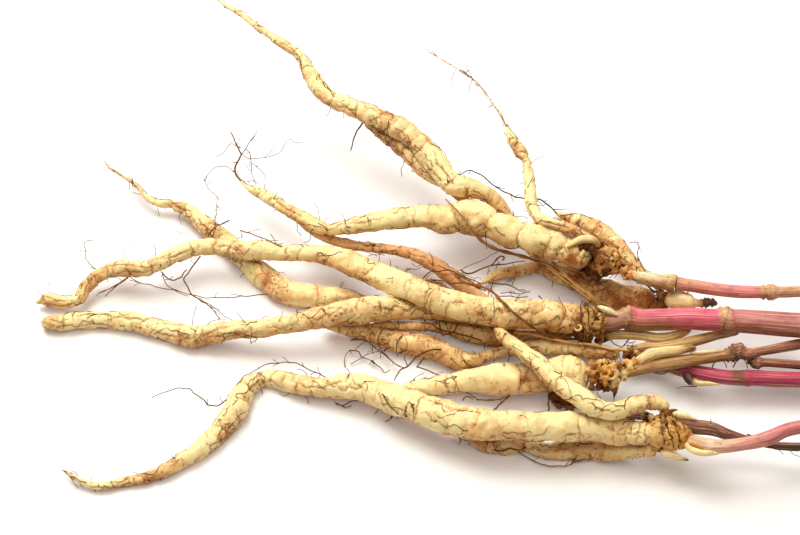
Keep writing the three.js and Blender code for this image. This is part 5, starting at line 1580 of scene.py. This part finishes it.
def with_branches(rng, threads, spacing):
    """The threads, made crooked, with short side hairs about every spacing mm."""
    grown = []
    for thread in threads:
        base, tip, *path = crooked(rng, thread)
        grown.append((base, tip, *path))
        reach = np.linalg.norm(np.diff(path, axis=0), axis=1).sum()
        for _ in range(int(rng.poisson(reach / spacing))):
            i = int(rng.integers(0, len(path) - 1))
            way = path[i + 1] - path[i] + rng.normal(size=3) * (1.6, 1.6, 0.6)
            points = [path[i]]
            for _ in range(3):
                way = unit(way) + rng.normal(size=3) * 0.4
                points.append(points[-1] + way * rng.uniform(0.5, 1.6))
            grown.append((0.7 * tip, 0.12, *points))
    return grown


def draw_threads(name, threads, roundness=1):
    """Smooth tapered threads as one mesh. Each is its two thicknesses in mm and its points in mm."""
    curve = bpy.data.curves.new(name, "CURVE")
    curve.dimensions = "3D"
    curve.bevel_depth = 0.5 * MM
    curve.bevel_resolution = roundness
    curve.use_fill_caps = True
    curve.resolution_u = 2
    for base, tip, *points in threads:
        spline = curve.splines.new("NURBS")
        spline.points.add(len(points) - 1)
        for i, (point, place) in enumerate(zip(spline.points, points)):
            point.co = (*(band * MM for band in place), 1)
            thickness = THREAD_GIRTH * (base + (tip - base) * i / (len(points) - 1))
            point.radius = max(FINEST_THREAD, thickness)
        spline.order_u = min(3, len(points))
        spline.use_endpoint_u = True
    piece = mesh_from(name, curve, bpy.ops.mesh.remove_doubles, threshold=MERGE)
    move_to(piece, places_of(piece))
    return piece


def random_hairs(rng, names, spacing, longest):
    """Short crooked hairs that lie over the skin of the named roots or lift off it."""
    hairs = []
    for name in names:
        line, radii, stations = smooth_line(*read_spine(name), 0.5)
        ahead, side, upper = frames_along(line)
        for _ in range(int(stations[-1] / spacing)):
            i = int(rng.integers(4, len(line) - 4))
            angle = rng.uniform(-math.pi, math.pi)
            out = side[i] * math.cos(angle) + upper[i] * math.sin(angle)
            round_way = np.cross(ahead[i], out)
            lie, lift = rng.uniform(-math.pi, math.pi), rng.uniform(0.1, 0.9) ** 1.5
            way = out * lift + ahead[i] * math.cos(lie) + round_way * math.sin(lie)
            reach = longest * rng.uniform(0.3, 1.0) ** 1.5
            points = [line[i] + out * radii[i] * 0.98]
            for _ in range(5):
                way = unit(way) + rng.normal(size=3) * 0.35 - 0.12 * out
                points.append(points[-1] + way * reach / 5)
            hairs.append((rng.uniform(0.2, 0.4), 0.12, *points))
    return hairs


def clinging_hairs(rng, names, spacing):
    """Wiry hairs that lie against the skin of the named roots and wander along it."""
    hairs = []
    for name in names:
        skin = bpy.data.objects[name + "_skin"]
        sides = max(len(face.vertices) for face in skin.data.polygons)
        rings = places_of(skin).reshape(-1, sides, 3)
        middles = rings.mean(axis=1)
        for _ in range(int(0.4 * len(rings) / spacing)):
            ring, side = int(rng.integers(8, len(rings) - 8)), rng.uniform(0, sides)
            heading = int(rng.choice((-1, 1)))
            points = []
            for _ in range(int(rng.integers(4, 14))):
                if not 4 <= ring < len(rings) - 4:
                    break
                spot = rings[ring, int(side) % sides]
                points.append(spot + unit(spot - middles[ring]) * rng.uniform(0.0, 0.3))
                ring += heading * int(rng.integers(1, 6))
                side += rng.normal() * 2.2
            if len(points) > 3:
                hairs.append((rng.uniform(0.22, 0.4), 0.15, *points))
    return hairs


def crown_tufts(rng, crowns, count):
    """Short fibres that lie over the top of each crown and lift off it at their tips."""
    tufts = []
    for *middle, radius in crowns:
        for _ in range(count):
            way = unit(rng.normal(size=3) + (0, -0.3, 1.2))
            aside = np.cross(way, rng.normal(size=3))
            reach = rng.uniform(0.3, 0.9) / np.linalg.norm(aside)
            points = []
            for step in np.linspace(0, 1, 5):
                turned = unit(way + reach * step * aside + 0.08 * rng.normal(size=3))
                points.append(middle + turned * (radius * 1.08 + 0.2 + 1.2 * step**2))
            tufts.append((rng.uniform(0.25, 0.5), 0.15, *points))
    return tufts


class SKIRRET_OT_rootlets(bpy.types.Operator):
    """Adds the rootlets, the loose threads and the fine hairs"""
    bl_idname = "skirret.rootlets"
    bl_label = "Rootlets and Hairs"

    def execute(self, context):
        finishes = {tone: rootlet_material(f"dry_{name}_rootlet", tone) for name, tone in (
            ("dark", DARK), ("brown", BROWN), ("red", RED), ("tan", TAN), ("pale", PALE))}
        rng = np.random.default_rng(11)
        for name, (tone, threads) in ROOTLETS.items():
            grown = with_branches(rng, threads, spacing=9)
            finish_piece(draw_threads(name, grown), finishes[tone], "rootlet")
        for name, start, tone in (("rootlet_upper", 0.4, TAN), ("rootlet_middle", 0.7, RED)):
            line, radii, stations = smooth_line(*read_spine(name), 0.8)
            girth = np.interp(stations, (8, 26), (start, 0.95)) * (1 + 0.2 * np.sin(stations))
            thread = draw_tube(name + "_thread", line, girth * radii, 8)
            finish_piece(thread, finishes[tone], "rootlet", name)
        hairs = clinging_hairs(rng, ROOT_LOOKS, spacing=8)
        loose = random_hairs(rng, ROOT_LOOKS, spacing=3, longest=8)
        tufts = crown_tufts(rng, CROWNS, count=16)
        for name, tone, threads in (
                ("loose_hairs", DARK, loose), ("brown_hairs", BROWN, hairs[::2] + tufts[::2]),
                ("red_hairs", RED, hairs[1::2] + tufts[1::2])):
            finish_piece(draw_threads(name, threads, roundness=0), finishes[tone], "rootlet")
        return {"FINISHED"}


# ---------------------------------------------------------------- stage

FLOOR_FADE = (260 * MM, 480 * MM)   # how far out the floor begins to turn plain white, and is


def seen_directly(tree):
    """One where the camera, a mirror or glass shows the surface, and zero where it only lights others."""
    rays = add_node(tree, "LightPath")
    seen = rays.outputs["Is Camera Ray"]
    for ray in ("Is Glossy Ray", "Is Transmission Ray"):
        seen = add_node(tree, "Math", {"operation": "MAXIMUM"}, {
            0: seen, 1: rays.outputs[ray]}).outputs[0]
    return seen


class SKIRRET_OT_stage(bpy.types.Operator):
    """Lays the white floor, and places the soft lamp, the sky and the camera"""
    bl_idname = "skirret.stage"
    bl_label = "Stage"

    def execute(self, context):
        settings = context.scene.skirret_stage
        aim = Vector((settings.aim_x, settings.aim_y, 0))

        bpy.ops.object.select_all(action="DESELECT")
        bpy.ops.mesh.primitive_plane_add(size=6, location=(0, 0, 0))
        floor = context.object
        floor.name = "floor"
        floor.data.materials.append(floor_material())

        data = bpy.data.cameras.new("camera")
        data.lens = settings.lens
        data.clip_start, data.clip_end = 0.02, 20
        camera = add_object("camera", data)
        away = Vector((0, -math.cos(settings.camera_elevation), math.sin(settings.camera_elevation)))
        camera.location = aim + away * settings.camera_distance
        camera.rotation_euler = (-away).to_track_quat("-Z", "Y").to_euler()
        context.scene.camera = camera

        for name, size, power, tone, place in (
                ("key_lamp", 0.9, settings.key_power, (1, 1, 0.98), (-0.34, 0.55, 1.0)),
                ("top_lamp", 1.6, settings.top_power, (1, 0.92, 0.81), (0.0, 0.0, 1.2))):
            lamp_data = bpy.data.lights.new(name, "AREA")
            lamp_data.shape = "DISK"
            lamp_data.size = size
            lamp_data.energy = power
            lamp_data.color = tone
            lamp = add_object(name, lamp_data)
            lamp.location = aim + Vector(place)
            lamp.rotation_euler = (aim - lamp.location).to_track_quat("-Z", "Y").to_euler()

        world = bpy.data.worlds.new("sky")
        context.scene.world = world
        world.use_nodes = True
        tree = world.node_tree
        tree.nodes.clear()
        glow = add_node(tree, "Background", None, {
            "Color": (1, 0.86, 0.68, 1), "Strength": settings.sky})
        white = add_node(tree, "Background", None, {"Color": (1, 1, 1, 1), "Strength": 1.0})
        both = add_node(tree, "MixShader", None, {
            0: seen_directly(tree), 1: glow.outputs[0], 2: white.outputs[0]})
        add_node(tree, "OutputWorld", None, {"Surface": both.outputs[0]})
        context.scene.view_settings.view_transform = "Standard"
        return {"FINISHED"}


def floor_material():
    """White paper sweep: it looks white where it is lit, and keeps the clump's soft shadow."""
    material, tree, output = new_material("white_paper_sweep")
    seen = seen_directly(tree)
    lift = add_node(tree, "Math", {"operation": "MULTIPLY"}, {0: seen, 1: 0.1}).outputs[0]
    paper = add_node(tree, "BsdfDiffuse", None, {"Color": (0.92, 0.92, 0.92, 1)})
    glow = add_node(tree, "Emission", None, {"Color": (1, 1, 1, 1), "Strength": lift})
    both = add_node(tree, "AddShader", None, {0: paper.outputs[0], 1: glow.outputs[0]})

    # Past the lamps' reach the sweep looks as white as beside the clump.
    place = add_node(tree, "TexCoord").outputs["Object"]
    away = add_node(tree, "VectorMath", {"operation": "LENGTH"}, {0: place}).outputs["Value"]
    far = add_node(tree, "MapRange", {"interpolation_type": "SMOOTHSTEP"}, {
        "Value": away, "From Min": FLOOR_FADE[0], "From Max": FLOOR_FADE[1]}).outputs["Result"]
    share = add_node(tree, "Math", {"operation": "MULTIPLY"}, {0: seen, 1: far}).outputs[0]
    white = add_node(tree, "Emission", None, {"Color": (1, 1, 1, 1), "Strength": 1.0})
    sweep = add_node(tree, "MixShader", None, {
        0: share, 1: both.outputs[0], 2: white.outputs[0]})
    tree.links.new(sweep.outputs[0], output.inputs["Surface"])
    return material


# ---------------------------------------------------------------- panel and steps


class SKIRRET_PT_panel(bpy.types.Panel):
    """Lists the steps that dress the clump"""
    bl_label = "Skirret Clump"
    bl_idname = "SKIRRET_PT_panel"
    bl_space_type = "VIEW_3D"
    bl_region_type = "UI"
    bl_category = "Skirret"

    def draw(self, context):
        for step in STEPS:
            self.layout.operator(step.bl_idname)


STEPS = (SKIRRET_OT_storage_roots, SKIRRET_OT_stems, SKIRRET_OT_rootstock, SKIRRET_OT_rootlets,
         SKIRRET_OT_stage)
SETTINGS = {"skirret_roots": RootSettings, "skirret_rootstock": RootstockSettings,
            "skirret_stage": StageSettings}


def register():
    for group in (*SETTINGS.values(), *STEPS, SKIRRET_PT_panel):
        bpy.utils.register_class(group)
    for name, group in SETTINGS.items():
        setattr(bpy.types.Scene, name, bpy.props.PointerProperty(type=group))


def unregister():
    for name in SETTINGS:
        delattr(bpy.types.Scene, name)
    for group in reversed((*SETTINGS.values(), *STEPS, SKIRRET_PT_panel)):
        bpy.utils.unregister_class(group)


def main():
    register()
    bpy.ops.skirret.storage_roots()
    bpy.ops.skirret.stems()
    bpy.ops.skirret.rootstock()
    bpy.ops.skirret.rootlets()
    bpy.ops.skirret.stage()


if __name__ == "__main__":
    main()
